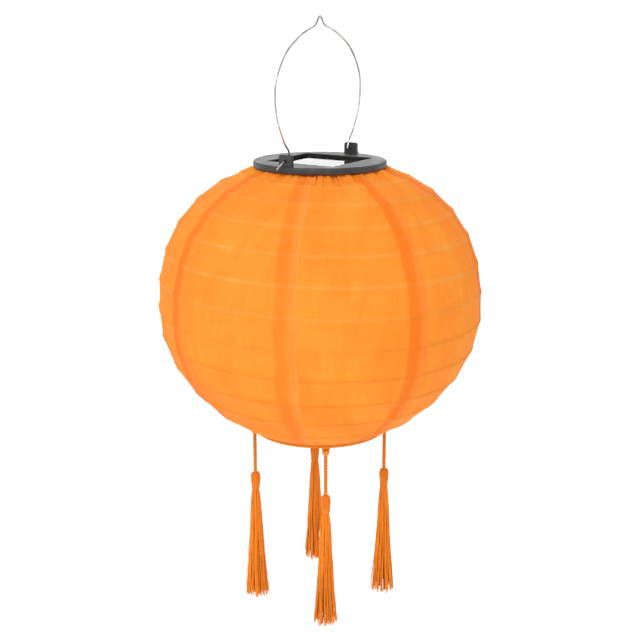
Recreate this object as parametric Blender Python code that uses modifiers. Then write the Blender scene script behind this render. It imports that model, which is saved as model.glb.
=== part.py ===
"""A solar fabric lantern: a wire handle, a solar cap, a round shade of eight sewn gores on a spiral
wire, and four tassels under its bottom ring. Metres, +Z up. The origin is where a hook carries the
handle, and the handle lies in the XZ plane."""

from math import cos, pi, radians, sin, sqrt

import bmesh
import bpy
import numpy as np
from mathutils import Matrix, Vector

# Clearances
TOUCH = 0.0003  # between pieces that touch
RUNNING = 0.0004  # round a wire or pin that turns or slides in a hole

# Wires
HANDLE_WIRE = 0.0007  # radius
RING_WIRE = 0.0010  # radius of both shade rings
RIB_WIRE = 0.0006  # radius of the spiral
LEG_WIRE = 0.0010  # radius of the spreader's legs

# Solar cap
PANEL_SIDE = 0.0594
PANEL_SINK = 0.0022  # from the cap's top down to the panel's face
WINDOW_THICK = 0.0010
CELL_THICK = 0.0004
CELL_MARGIN = 0.0022
BOARD_THICK = 0.0012
FLOOR_THICK = 0.0015
CORNER_WALL = 0.0012  # between a corner of the recess and the ring's channel
CHANNEL_WIDTH = 0.0061
CHANNEL_ROOF = 0.0020
SKIRT_WALL = 0.0018
RIM_HEIGHT = 0.0052
LEAD_HOLE = 0.0030  # radius
LEAD_PLACE = (0.0, -0.008)

# Lugs
LUG_WIDTH = 0.0110
LUG_THICK = 0.0036
LUG_HEIGHT = 0.0085
LUG_INSET = 0.0023  # from the rim to the lug's outer face
HOLE_HEIGHT = 0.0037

# Handle
HANDLE_HEIGHT = 0.107  # from the cap's top to the wire at the peak
HANDLE_BULGE = 0.0167  # how far the bow's widest place stands outside the lugs' inner faces
HANDLE_LEAN = 0.0026  # how far inside its lug the wire turns up
PEAK_HALF = 0.0082
PEAK_RISE = 0.0071
TAIL_LENGTH = 0.0102
TAIL_DROP = 0.0046

# Shade
SHADE_RADIUS = 0.127
SHADE_UPPER = 0.1144  # height of the upper half, if it closed at the axis
SHADE_LOWER = 0.1110
UPPER_POWER = 2.4
LOWER_POWER = 1.9
GORES = 8
FIRST_SEAM = 20.0  # degrees
FABRIC_THICK = 0.0008
RIB_PITCH = 0.02115  # along the cloth, at the first turn
RIB_SPREAD = 0.00015  # how much further apart each turn lies
RIB_START = 0.0185  # along the cloth, where the spiral passes RIB_ANGLE
RIB_ANGLE = 219.7
RIB_TURNS = (-0.45, 10.55)
BOTTOM_RING = 0.0533  # radius of the ring's middle line

# Lamp housing
HOUSING_DEPTH = 0.026
HOUSING_WALL = 0.0018
HOUSING_FLOOR = 0.0020
FLANGE_THICK = 0.0015
SCREW_HEAD = 0.0022  # radius
SCREW_SHANK = 0.0011  # radius
HEAD_HEIGHT = 0.0015
CLIP_WIDTH = 0.008
BATTERY_RADIUS = 0.0051
BATTERY_LENGTH = 0.0445
BATTERY_PLACE = (-0.003, 0.011)
SPRING_LENGTH = 0.0048
CONTACT_THICK = 0.0005
CIRCUIT_SIZE = (0.040, 0.0235)
CIRCUIT_PLACE = (0.0, -0.00925)
CIRCUIT_THICK = 0.0012
CIRCUIT_RISE = 0.0083  # from the housing's floor to the board
LED_PLACE = (0.0, -0.006)
LED_RADIUS = 0.0025
DIFFUSER_RADIUS = 0.0063
DIFFUSER_WALL = 0.0010
SWITCH_PLACE = (0.0, -0.0175)
SWITCH_TRAVEL = 0.003
KNOB_SIZE = (0.0030, 0.0024)

# Spreader
LEG_ANGLES = (67.5, 247.5)
LEG_RADIUS = 0.0472  # of the straight stretch

# Tassels
FIRST_TASSEL = 36.5  # degrees
CORD_RADIUS = 0.0016
CORD_LENGTHS = (0.0302, 0.0322, 0.0321, 0.0329)  # one for each tassel, in order
KNOT_RADIUS = 0.0030
KNOT_WALL = 0.0013  # of the hitch round the ring
HEAD_RADIUS = 0.0040
NECK_RADIUS = 0.0027
HEAD_LENGTH = 0.0155
TASSEL_LENGTHS = (0.1065, 0.1105, 0.1105, 0.1105)  # head and skirt, in the same order
SKIRT_RADIUS = 0.0080

# Heights and radii that follow
CAP_TOP = HANDLE_WIRE - HANDLE_HEIGHT
CAP_BOTTOM = CAP_TOP - RIM_HEIGHT
RECESS_HALF = PANEL_SIDE / 2 + TOUCH
CHANNEL_IN = RECESS_HALF * sqrt(2) + CORNER_WALL
CHANNEL_OUT = CHANNEL_IN + CHANNEL_WIDTH
CAP_RADIUS = CHANNEL_OUT + SKIRT_WALL
PANEL_TOP = CAP_TOP - PANEL_SINK
CELL_TOP = PANEL_TOP - WINDOW_THICK - TOUCH
BOARD_TOP = CELL_TOP - CELL_THICK - TOUCH
RECESS_FLOOR = BOARD_TOP - BOARD_THICK - TOUCH
BOSS_BOTTOM = RECESS_FLOOR - FLOOR_THICK
HINGE_Z = CAP_TOP + HOLE_HEIGHT
LUG_OUTER = CAP_RADIUS - LUG_INSET
LUG_INNER = LUG_OUTER - LUG_THICK
TOP_RING = (CHANNEL_IN + CHANNEL_OUT) / 2 - 0.0006
TOP_RING_Z = CAP_TOP - CHANNEL_ROOF - RING_WIRE - 0.0010
HEM_RADIUS = TOP_RING + RING_WIRE + TOUCH + FABRIC_THICK / 2
HEM_Z = min(TOP_RING_Z - RING_WIRE, CAP_BOTTOM) - TOUCH - FABRIC_THICK / 2
FLANGE_TOP = BOSS_BOTTOM - TOUCH
FLANGE_BOTTOM = FLANGE_TOP - FLANGE_THICK
FLANGE_RADIUS = CHANNEL_IN + 0.0014
SCREW_CIRCLE = CHANNEL_IN - 0.0033
HOUSING_RADIUS = SCREW_CIRCLE - SCREW_HEAD - 0.0009
HOUSING_BOTTOM = FLANGE_TOP - HOUSING_DEPTH
FLOOR_TOP = HOUSING_BOTTOM + HOUSING_FLOOR
BAY_CLEAR = 0.0002
BOARD_Z = FLOOR_TOP + CIRCUIT_RISE  # underside of the circuit board
BOARD_SCREWS = (-0.0150, 0.0150)
BOARD_SCREW_Y = -0.0165
DOOR_WIDTH = 2 * BATTERY_RADIUS + 0.0006
DOOR_THICK = HOUSING_FLOOR - 0.0004
DOOR_TOP = HOUSING_BOTTOM + DOOR_THICK
BATTERY_Z = FLOOR_TOP + TOUCH + BATTERY_RADIUS
BATTERY_ENDS = (BATTERY_PLACE[0] - BATTERY_LENGTH / 2, BATTERY_PLACE[0] + BATTERY_LENGTH / 2)
PLUS_X = BATTERY_ENDS[0] - 0.0012 - TOUCH - CONTACT_THICK / 2
MINUS_X = BATTERY_ENDS[1] + SPRING_LENGTH + 2 * TOUCH + CONTACT_THICK / 2
DOOR_SCREW_X = MINUS_X + 0.0037


def clear_scene():
    for old in list(bpy.data.objects):
        bpy.data.objects.remove(old, do_unlink=True)


def new_collection(name):
    made = bpy.data.collections.new(name)
    bpy.context.scene.collection.children.link(made)
    return made


clear_scene()
PARTS = new_collection("solar_lantern")
CUTTERS = new_collection("cutters")


def finish(name, color, roughness, metallic=0.0, alpha=1.0):
    made = bpy.data.materials.new(name)
    made.use_nodes = True
    shader = made.node_tree.nodes["Principled BSDF"]
    shader.inputs["Base Color"].default_value = (*color, 1.0)
    shader.inputs["Roughness"].default_value = roughness
    shader.inputs["Metallic"].default_value = metallic
    shader.inputs["Alpha"].default_value = alpha
    return made


BLACK_PLASTIC = finish("black_plastic", (0.035, 0.032, 0.030), 0.45)
STEEL = finish("steel_wire", (0.60, 0.60, 0.60), 0.30, 1.0)
SILICON = finish("silicon", (0.02, 0.03, 0.07), 0.25)
CLEAR = finish("clear_epoxy", (0.80, 0.80, 0.80), 0.08, 0.0, 0.35)
CIRCUIT = finish("circuit_green", (0.03, 0.16, 0.06), 0.5)
NYLON = finish("orange_nylon", (0.90, 0.25, 0.03), 0.6)
SILK = finish("tassel_silk", (0.75, 0.19, 0.02), 0.45)
FROSTED = finish("frosted_plastic", (0.85, 0.85, 0.82), 0.5)
WRAPPER = finish("battery_wrapper", (0.05, 0.20, 0.09), 0.4)
NICKEL = finish("nickel_plate", (0.62, 0.60, 0.56), 0.3, 1.0)
RED_LEAD = finish("red_lead", (0.45, 0.02, 0.02), 0.5)


def place(obj, name, material, collection=PARTS):
    """Name an object, give it its material and put it in its collection."""
    for old in list(obj.users_collection):
        old.objects.unlink(obj)
    collection.objects.link(obj)
    obj.name = name
    obj.data.name = name
    if material:
        obj.data.materials.clear()
        obj.data.materials.append(material)
    if collection is CUTTERS:
        obj.hide_render = True
        obj.display_type = "WIRE"
    return obj


def mesh_object(name, build, material, collection=PARTS):
    """An object from a function that fills a bmesh."""
    data = bpy.data.meshes.new(name)
    bm = bmesh.new()
    build(bm)
    bm.to_mesh(data)
    bm.free()
    obj = bpy.data.objects.new(name, data)
    return place(obj, name, material, collection)


def block(name, size, center, material=None, bevel=0.0, collection=PARTS):
    """A box of a size about a centre."""

    def build(bm):
        bmesh.ops.create_cube(bm, size=1.0, matrix=Matrix.Diagonal((*size, 1.0)))

    obj = mesh_object(name, build, material, collection)
    obj.location = center
    if bevel:
        edge = obj.modifiers.new("edges", "BEVEL")
        edge.width = bevel
        edge.segments = 2
    return obj


def rod(name, radius, length, center, axis="Z", sides=16, material=None, collection=PARTS):
    """A straight cylinder along an axis about a centre."""
    turn = {"Z": Matrix(), "X": Matrix.Rotation(pi / 2, 4, "Y"), "Y": Matrix.Rotation(pi / 2, 4, "X")}[axis]

    def build(bm):
        bmesh.ops.create_cone(
            bm, cap_ends=True, segments=sides, radius1=radius, radius2=radius, depth=length, matrix=turn
        )

    obj = mesh_object(name, build, material, collection)
    obj.location = center
    return obj


def turned(name, profile, steps, material=None, center=(0, 0, 0), angle=2 * pi, collection=PARTS):
    """A profile of (radius, height) points turned about Z, running down its outside.

    A profile that ends where it starts is a closed loop, clear of the axis.
    """

    closed = tuple(profile[0]) == tuple(profile[-1])

    def build(bm):
        row = [bm.verts.new((r, 0.0, z)) for r, z in (profile[:-1] if closed else profile)]
        for a, b in zip(row, row[1:] + row[:closed]):
            bm.edges.new((a, b))

    obj = mesh_object(name, build, material, collection)
    obj.location = center
    screw = obj.modifiers.new("turn", "SCREW")
    screw.angle = angle
    screw.steps = steps
    screw.render_steps = steps
    screw.use_merge_vertices = angle >= 2 * pi
    screw.merge_threshold = 0.00001
    screw.use_smooth_shade = True
    return obj


def tube(name, points, radius, material, cyclic=False):
    """A wire or cord along a list of points."""
    curve = bpy.data.curves.new(name, "CURVE")
    curve.dimensions = "3D"
    curve.bevel_depth = radius
    curve.bevel_resolution = 2
    curve.use_fill_caps = not cyclic
    spline = curve.splines.new("POLY")
    spline.points.add(len(points) - 1)
    for slot, point in zip(spline.points, points):
        slot.co = (*point, 1.0)
    spline.use_cyclic_u = cyclic
    return place(bpy.data.objects.new(name, curve), name, material)


def boolean(obj, other, operation):
    """Cut, or join, one object with another, and keep the other as a hidden cutter."""
    place(other, other.name, None, CUTTERS)
    step = obj.modifiers.new(operation.lower(), "BOOLEAN")
    step.operation = operation
    # the exact solver leaves open edges after the housing's many cuts, and both meshes are closed
    step.solver = "MANIFOLD" if obj.name == "lamp_housing" else "EXACT"
    step.object = other
    return obj


def cut(obj, *others):
    for other in others:
        boolean(obj, other, "DIFFERENCE")
    return obj


def join(obj, *others):
    for other in others:
        boolean(obj, other, "UNION")
    return obj


def turn_about_z(obj, degrees):
    """Turn an object about the lantern's axis."""
    spin = Matrix.Rotation(radians(degrees), 4, "Z")
    obj.matrix_world = spin @ Matrix.LocRotScale(obj.location, obj.rotation_euler, obj.scale)
    return obj


def smooth_path(points, per_span):
    """A Catmull-Rom curve through a list of points."""
    p = [Vector(point) for point in points]
    p = [2 * p[0] - p[1], *p, 2 * p[-1] - p[-2]]
    path = []
    for a, b, c, d in zip(p, p[1:], p[2:], p[3:]):
        for k in range(per_span):
            t = k / per_span
            bend = 2 * a - 5 * b + 4 * c - d
            twist = 3 * b - a - 3 * c + d
            path.append((2 * b + (c - a) * t + bend * t * t + twist * t**3) / 2)
    return [*path, p[-2]]


# --- The shade's outline: a superellipse above its widest place and another below it ---
HALVES = {1: (SHADE_UPPER, UPPER_POWER), -1: (SHADE_LOWER, LOWER_POWER)}


def reach(radius, side):
    """The height above (side 1) or below (side -1) the widest place at which the shade has a radius."""
    height, power = HALVES[side]
    return side * height * (1 - (radius / SHADE_RADIUS) ** power) ** (1 / power)


EQUATOR_Z = HEM_Z - reach(HEM_RADIUS, 1)
KNOT_BORE = RING_WIRE + RUNNING
FOOT_RADIUS = BOTTOM_RING + KNOT_BORE + KNOT_WALL + TOUCH + FABRIC_THICK / 2
FOOT_Z = EQUATOR_Z + reach(FOOT_RADIUS, -1)
BOTTOM_RING_Z = FOOT_Z - 0.0021


def half_outline(side, end_radius, rows):
    """Points of one half of the outline, from the widest place to a radius."""
    height, power = HALVES[side]
    last = np.arccos((end_radius / SHADE_RADIUS) ** (power / 2))
    t = np.linspace(0, last, rows + 1)
    r = SHADE_RADIUS * np.cos(t) ** (2 / power)
    return np.column_stack([r, EQUATOR_Z + side * height * np.sin(t) ** (2 / power)])


def outline(rows):
    """Points of the whole outline, from the top hem to the foot."""
    upper = half_outline(1, HEM_RADIUS, rows)[::-1]
    lower = half_outline(-1, FOOT_RADIUS, rows)
    return np.vstack([upper, lower[1:]])


FINE = outline(400)
ALONG = np.concatenate([[0], np.cumsum(np.linalg.norm(np.diff(FINE, axis=0), axis=1))])


def on_cloth(along, inside=0.0):
    """The (radius, height) at a distance along the cloth from its top hem, set in from it."""
    step = 0.0005
    spot = np.array([np.interp(along, ALONG, FINE[:, k]) for k in (0, 1)])
    ahead = np.array([np.interp(along + step, ALONG, FINE[:, k]) for k in (0, 1)])
    behind = np.array([np.interp(along - step, ALONG, FINE[:, k]) for k in (0, 1)])
    run = (ahead - behind) / np.linalg.norm(ahead - behind)
    return spot + inside * np.array([run[1], -run[0]])


def polar(radius, degrees, z):
    return Vector((radius * cos(radians(degrees)), radius * sin(radians(degrees)), z))


def ring(name, radius, z, wire, points, material):
    """A closed wire ring."""
    return tube(name, [polar(radius, 360 * k / points, z) for k in range(points)], wire, material, True)


# --- Solar cap ---
def make_cap():
    """The round cap with its square recess, ring channel, boss and two lugs."""
    edge = 0.0011
    profile = [
        (0, CAP_TOP),
        (CAP_RADIUS - edge, CAP_TOP),
        (CAP_RADIUS - edge * 0.3, CAP_TOP - edge * 0.3),
        (CAP_RADIUS, CAP_TOP - edge),
        (CAP_RADIUS, CAP_BOTTOM + edge / 2),
        (CAP_RADIUS - edge / 2, CAP_BOTTOM),
        (CHANNEL_OUT, CAP_BOTTOM),
        (CHANNEL_OUT, CAP_TOP - CHANNEL_ROOF),
        (CHANNEL_IN, CAP_TOP - CHANNEL_ROOF),
        (CHANNEL_IN, BOSS_BOTTOM),
        (0, BOSS_BOTTOM),
    ]
    cap = turned("solar_cap", profile, 48, BLACK_PLASTIC)
    for side in (1, -1):
        x = side * (LUG_INNER + LUG_OUTER) / 2
        root = 0.001
        lug = block(
            f"lug_{side}",
            (LUG_THICK, LUG_WIDTH, LUG_HEIGHT + root),
            (x, 0, CAP_TOP + (LUG_HEIGHT - root) / 2),
            bevel=0.0005,
        )
        join(cap, lug)
        hole = rod(f"lug_hole_{side}", HANDLE_WIRE + RUNNING, 4 * LUG_THICK, (x, 0, HINGE_Z), "X", 12)
        cut(cap, hole)
    deep = CAP_TOP - RECESS_FLOOR
    recess = block("recess", (2 * RECESS_HALF, 2 * RECESS_HALF, 2 * deep), (0, 0, CAP_TOP))
    lead_way = rod("lead_way", LEAD_HOLE, 4 * FLOOR_THICK, (*LEAD_PLACE, RECESS_FLOOR))
    cut(cap, recess, lead_way)
    for k in range(4):
        spot = polar(SCREW_CIRCLE, 90 * k, BOSS_BOTTOM)
        cut(cap, rod(f"cap_screw_hole_{k + 1}", SCREW_SHANK + TOUCH, 0.0066, spot, sides=12))


def make_panel():
    """The solar panel: a backing board, the cells and a clear window."""
    side = PANEL_SIDE
    cells = side - 2 * CELL_MARGIN
    block("panel_window", (side, side, WINDOW_THICK), (0, 0, PANEL_TOP - WINDOW_THICK / 2), CLEAR)
    block("solar_cells", (cells, cells, CELL_THICK), (0, 0, CELL_TOP - CELL_THICK / 2), SILICON)
    block("panel_board", (side, side, BOARD_THICK), (0, 0, BOARD_TOP - BOARD_THICK / 2), CIRCUIT)


# --- Handle ---
def make_handle():
    """One bent wire: a tail outside each lug, a pin in its hole, and a bow that rises to a peak."""
    knee = LUG_INNER - TOUCH - HANDLE_WIRE
    foot = knee - HANDLE_LEAN
    wide = knee + HANDLE_BULGE
    high = HANDLE_HEIGHT
    corner = 0.0012  # radius of the bend beside the lug
    lug_reach = HOLE_HEIGHT + sqrt((LUG_WIDTH / 2) ** 2 + (LUG_HEIGHT - HOLE_HEIGHT) ** 2)
    clear = lug_reach + HANDLE_WIRE + TOUCH  # the wire stays inside the lug until it swings past it
    half = [
        (LUG_OUTER + TAIL_LENGTH, HOLE_HEIGHT - TAIL_DROP),
        (LUG_OUTER + 0.55 * TAIL_LENGTH, HOLE_HEIGHT - 0.50 * TAIL_DROP),
        (LUG_OUTER + 0.0014, HOLE_HEIGHT - 0.0002),
        (LUG_OUTER, HOLE_HEIGHT),
        (LUG_INNER, HOLE_HEIGHT),
        (foot + 0.3 * corner, HOLE_HEIGHT + 0.3 * corner),
        (foot, HOLE_HEIGHT + corner),
        (foot + 0.45 * HANDLE_LEAN, (HOLE_HEIGHT + corner + clear) / 2),
        (knee - 0.0002, clear - 0.0004),
        (knee + 0.25 * HANDLE_BULGE, 0.150 * high),
        (knee + 0.55 * HANDLE_BULGE, 0.228 * high),
        (knee + 0.83 * HANDLE_BULGE, 0.318 * high),
        (knee + 0.97 * HANDLE_BULGE, 0.405 * high),
        (wide, 0.485 * high),
        (knee + 0.95 * HANDLE_BULGE, 0.563 * high),
        (0.940 * wide, 0.626 * high),
        (0.840 * wide, 0.710 * high),
        (0.695 * wide, 0.792 * high),
        (0.440 * wide, 0.874 * high),
        (0.245 * wide, 0.915 * high),
        (PEAK_HALF, high - PEAK_RISE),
        (0.62 * PEAK_HALF, high - 0.72 * PEAK_RISE),
        (0.27 * PEAK_HALF, high - 0.20 * PEAK_RISE),
    ]
    flat = [*half, (0, high), *[(-x, z) for x, z in reversed(half)]]
    tube("wire_handle", smooth_path([(x, 0, CAP_TOP + z) for x, z in flat], 2), HANDLE_WIRE, STEEL)


# --- Lamp housing under the cap ---
def make_housing():
    """The cup under the cap, with its flange, ring clips, posts and openings."""
    inner = HOUSING_RADIUS - HOUSING_WALL
    edge = 0.0010
    profile = [
        (0, FLOOR_TOP),
        (inner, FLOOR_TOP),
        (inner, FLANGE_TOP),
        (FLANGE_RADIUS, FLANGE_TOP),
        (FLANGE_RADIUS, FLANGE_BOTTOM),
        (HOUSING_RADIUS, FLANGE_BOTTOM),
        (HOUSING_RADIUS, HOUSING_BOTTOM + edge),
        (HOUSING_RADIUS - edge, HOUSING_BOTTOM),
        (0, HOUSING_BOTTOM),
    ]
    housing = turned("lamp_housing", profile, 40, BLACK_PLASTIC)
    clip_in = CHANNEL_IN + 0.0008
    clip_out = TOP_RING + 0.7 * RING_WIRE
    tall = TOP_RING_Z - RING_WIRE - TOUCH - FLANGE_BOTTOM
    spot = ((clip_in + clip_out) / 2, 0, FLANGE_BOTTOM + tall / 2)
    for k in range(4):
        clip = block(f"ring_clip_{k + 1}", (clip_out - clip_in, CLIP_WIDTH, tall), spot)
        join(housing, turn_about_z(clip, 45 + 90 * k))
    sunk = 0.0005  # how far a post reaches into the wall it grows from
    tall = CIRCUIT_RISE - TOUCH + sunk
    for n, x in enumerate(BOARD_SCREWS):
        spot = (x, BOARD_SCREW_Y, FLOOR_TOP - sunk + tall / 2)
        join(housing, rod(f"post_{n + 1}", 0.0026, tall, spot, sides=12))
    post_start = DOOR_SCREW_X - 0.0024
    post_end = sqrt(inner**2 - BATTERY_PLACE[1] ** 2) + HOUSING_WALL / 2
    post = (post_end - post_start, 0.0050, 0.0062)
    spot = ((post_start + post_end) / 2, BATTERY_PLACE[1], DOOR_TOP + TOUCH + post[2] / 2)
    join(housing, block("door_post", post, spot))

    for k in range(4):
        spot = polar(SCREW_CIRCLE, 90 * k, FLANGE_TOP)
        cut(housing, rod(f"flange_hole_{k + 1}", SCREW_SHANK + TOUCH, 0.006, spot, sides=12))
    for n, angle in enumerate(LEG_ANGLES):
        spot = polar(leg_top(), angle, FLANGE_TOP)
        cut(housing, rod(f"leg_socket_{n + 1}", LEG_WIRE + TOUCH, 0.006, spot, sides=12))
    for n, x in enumerate(BOARD_SCREWS):
        spot = (x, BOARD_SCREW_Y, BOARD_Z)
        cut(housing, rod(f"post_hole_{n + 1}", SCREW_SHANK + TOUCH, 0.008, spot, sides=12))
    end = door_end()
    bay = (end[1] - end[0] + 2 * TOUCH, DOOR_WIDTH + 2 * TOUCH, HOUSING_FLOOR + 2 * BAY_CLEAR)
    spot = ((end[0] + end[1]) / 2, BATTERY_PLACE[1], HOUSING_BOTTOM + HOUSING_FLOOR / 2)
    cut(housing, block("battery_bay", bay, spot))
    spot = (DOOR_SCREW_X, BATTERY_PLACE[1], DOOR_TOP)
    cut(housing, rod("door_screw_hole", SCREW_SHANK + TOUCH, 0.010, spot, sides=12))
    spot = (*LED_PLACE, HOUSING_BOTTOM)
    cut(housing, rod("lens_hole", DIFFUSER_RADIUS + TOUCH, 4 * HOUSING_FLOOR, spot, sides=24))
    slot = (KNOB_SIZE[0] + SWITCH_TRAVEL + 2 * RUNNING, KNOB_SIZE[1] + 2 * RUNNING, 4 * HOUSING_FLOOR)
    cut(housing, block("knob_slot", slot, (*SWITCH_PLACE, HOUSING_BOTTOM)))


def leg_top():
    """Radius of the sockets that the spreader's legs stand in."""
    return SCREW_CIRCLE + 0.0007


def door_end():
    """The battery door's two ends along X."""
    return PLUS_X - 0.0010, DOOR_SCREW_X + 0.0027


def screw(name, spot, length, material=STEEL):
    """A pan-head screw that points up, with the underside of its head at a spot."""
    crown = 0.0004
    profile = [
        (0, length),
        (SCREW_SHANK, length),
        (SCREW_SHANK, 0),
        (SCREW_HEAD, 0),
        (SCREW_HEAD, crown - HEAD_HEIGHT),
        (SCREW_HEAD - crown, -HEAD_HEIGHT),
        (0, -HEAD_HEIGHT),
    ]
    return turned(name, profile, 12, material, spot)


def make_housing_parts():
    """The battery and its door, the circuit, the lamp and the switch."""
    for k in range(4):
        screw(f"housing_screw_{k + 1}", polar(SCREW_CIRCLE, 90 * k, FLANGE_BOTTOM - TOUCH), 0.0046)
    end = door_end()
    middle = (end[0] + end[1]) / 2
    door = block(
        "battery_door",
        (end[1] - end[0], DOOR_WIDTH, DOOR_THICK),
        (middle, BATTERY_PLACE[1], DOOR_TOP - DOOR_THICK / 2),
        BLACK_PLASTIC,
    )
    spot = (DOOR_SCREW_X, BATTERY_PLACE[1], HOUSING_BOTTOM - TOUCH)
    cut(door, rod("door_hole", SCREW_SHANK + TOUCH, 4 * DOOR_THICK, spot, sides=12))
    screw("door_screw", spot, 0.0046)
    half = BATTERY_LENGTH / 2
    button = 0.0012
    cell = [
        (0, half + button),
        (0.0019, half + button),
        (0.0019, half),
        (BATTERY_RADIUS - 0.0004, half),
        (BATTERY_RADIUS, half - 0.0004),
        (BATTERY_RADIUS, 0.0004 - half),
        (BATTERY_RADIUS - 0.0004, -half),
        (0, -half),
    ]
    battery = turned("battery_cell", cell, 20, WRAPPER, (*BATTERY_PLACE, BATTERY_Z))
    battery.rotation_euler = (0, -pi / 2, 0)
    tall = 2 * BATTERY_RADIUS - 0.0008
    for name, x in (("contact_plate_plus", PLUS_X), ("contact_plate_minus", MINUS_X)):
        block(name, (CONTACT_THICK, tall, tall), (x, BATTERY_PLACE[1], BATTERY_Z), NICKEL)
    turns = 3.0
    steps = 36
    wire = 0.0003
    start = BATTERY_ENDS[1] + TOUCH + wire
    stop = MINUS_X - CONTACT_THICK / 2 - TOUCH - wire
    coil = []
    for k in range(steps + 1):
        share = k / steps
        a = 2 * pi * turns * share
        r = 0.0020 + 0.0016 * share
        coil.append((start + (stop - start) * share, BATTERY_PLACE[1] + r * cos(a), BATTERY_Z + r * sin(a)))
    tube("battery_spring", coil, wire, NICKEL)

    board = block(
        "circuit_board",
        (*CIRCUIT_SIZE, CIRCUIT_THICK),
        (*CIRCUIT_PLACE, BOARD_Z + CIRCUIT_THICK / 2),
        CIRCUIT,
    )
    for n, x in enumerate(BOARD_SCREWS):
        spot = (x, BOARD_SCREW_Y, BOARD_Z)
        cut(board, rod(f"board_hole_{n + 1}", SCREW_SHANK + TOUCH, 4 * CIRCUIT_THICK, spot, sides=12))
        spot = (x, BOARD_SCREW_Y, BOARD_Z + CIRCUIT_THICK + TOUCH)
        fastener = screw(f"board_screw_{n + 1}", spot, 0.0040)
        fastener.rotation_euler = (pi, 0, 0)

    led_top = BOARD_Z - TOUCH
    dome = [(LED_RADIUS * cos(a), -0.0061 - LED_RADIUS * sin(a)) for a in np.linspace(0, pi / 2, 5)[:-1]]
    turned(
        "led",
        [(0, 0), (0.0029, 0), (0.0029, -0.0010), (LED_RADIUS, -0.0010), *dome, (0, -0.0061 - LED_RADIUS)],
        16,
        CLEAR,
        (*LED_PLACE, led_top),
    )
    seat = FLOOR_TOP + TOUCH
    inner = DIFFUSER_RADIUS - DIFFUSER_WALL
    bulge = HOUSING_BOTTOM
    turn = np.linspace(0, pi / 2, 6)
    outside = [(DIFFUSER_RADIUS * cos(a), bulge - DIFFUSER_RADIUS * sin(a)) for a in turn]
    hollow = [(inner * cos(a), bulge - inner * sin(a)) for a in np.linspace(pi / 2, 0, 6)]
    outside[-1] = (0, bulge - DIFFUSER_RADIUS)
    hollow[0] = (0, bulge - inner)
    rim = DIFFUSER_RADIUS + 0.0017
    wall = [(inner, seat + 0.0010), (rim, seat + 0.0010), (rim, seat), (DIFFUSER_RADIUS, seat)]
    turned("lamp_diffuser", [*hollow, *wall, *outside], 24, FROSTED, (*LED_PLACE, 0))

    body_tall = 0.0034
    block(
        "switch_body",
        (0.0086, 0.0040, body_tall),
        (*SWITCH_PLACE, BOARD_Z - TOUCH - body_tall / 2),
        NICKEL,
    )
    knob_top = BOARD_Z - 2 * TOUCH - body_tall
    knob_bottom = HOUSING_BOTTOM - 0.0016
    block(
        "switch_knob",
        (*KNOB_SIZE, knob_top - knob_bottom),
        (SWITCH_PLACE[0] - SWITCH_TRAVEL / 2, SWITCH_PLACE[1], (knob_top + knob_bottom) / 2),
        BLACK_PLASTIC,
    )
    lead = 0.0006
    high = BOARD_TOP - BOARD_THICK - TOUCH
    low = BOARD_Z + CIRCUIT_THICK + TOUCH
    for name, side, material in (("panel_lead_plus", 1, RED_LEAD), ("panel_lead_minus", -1, BLACK_PLASTIC)):
        x, y = LEAD_PLACE[0] + side * 0.0013, LEAD_PLACE[1]
        bow = side * 0.0045
        route = [
            (x, y, high),
            (x, y, high - 0.0030),
            (x + bow * 0.7, y, high * 0.65 + low * 0.35),
            (x + bow, y, high * 0.35 + low * 0.65),
            (x + bow, y, low),
        ]
        tube(name, smooth_path(route, 4), lead, material)


# --- Shade ---
def make_shade():
    """Eight sewn gores, the two rings and the spiral rib inside the cloth."""
    seam_gap = 2 * TOUCH / SHADE_RADIUS * 3
    width = 2 * pi / GORES - seam_gap
    profile = [tuple(point) for point in outline(9)]
    for k in range(GORES):
        gore = turned(f"shade_gore_{k + 1}", profile, 5, NYLON, angle=width)
        gore.rotation_euler = (0, 0, radians(FIRST_SEAM + 360 / GORES * k) + seam_gap / 2)
        skin = gore.modifiers.new("cloth", "SOLIDIFY")
        skin.thickness = FABRIC_THICK
        skin.offset = 0.0
    ring("top_ring", TOP_RING, TOP_RING_Z, RING_WIRE, 36, STEEL)
    ring("bottom_ring", BOTTOM_RING, BOTTOM_RING_Z, RING_WIRE, 36, STEEL)
    inside = FABRIC_THICK / 2 + RIB_WIRE + 0.0011
    steps = int(14 * (RIB_TURNS[1] - RIB_TURNS[0]))
    spiral = []
    for n in np.linspace(*RIB_TURNS, steps):
        along = RIB_START + RIB_PITCH * n + RIB_SPREAD * n * n
        r, z = on_cloth(along, inside)
        spiral.append(polar(r, RIB_ANGLE + 360 * n, z))
    tube("spiral_rib", spiral, RIB_WIRE, STEEL)


def make_spreader():
    """Two legs that stand in the housing's flange and press the bottom ring down."""
    high = FLANGE_TOP - TOUCH
    foot = BOTTOM_RING_Z + RING_WIRE + TOUCH + LEG_WIRE
    side = [
        (leg_top(), high),
        (leg_top(), high - 0.006),
        (leg_top() + 0.002, high - 0.020),
        (LEG_RADIUS - 0.001, high - 0.045),
        (LEG_RADIUS, high - 0.075),
        (LEG_RADIUS, (high + foot) / 2 - 0.010),
        (LEG_RADIUS, foot + 0.030),
        (LEG_RADIUS, foot + 0.006),
        (LEG_RADIUS + 0.0008, foot + 0.0018),
        (BOTTOM_RING - 0.0014, foot),
        (BOTTOM_RING + 0.0004, foot),
    ]
    for n, angle in enumerate(LEG_ANGLES):
        points = smooth_path([polar(r, angle, z) for r, z in side], 2)
        tube(f"spreader_leg_{n + 1}", points, LEG_WIRE, STEEL)


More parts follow.
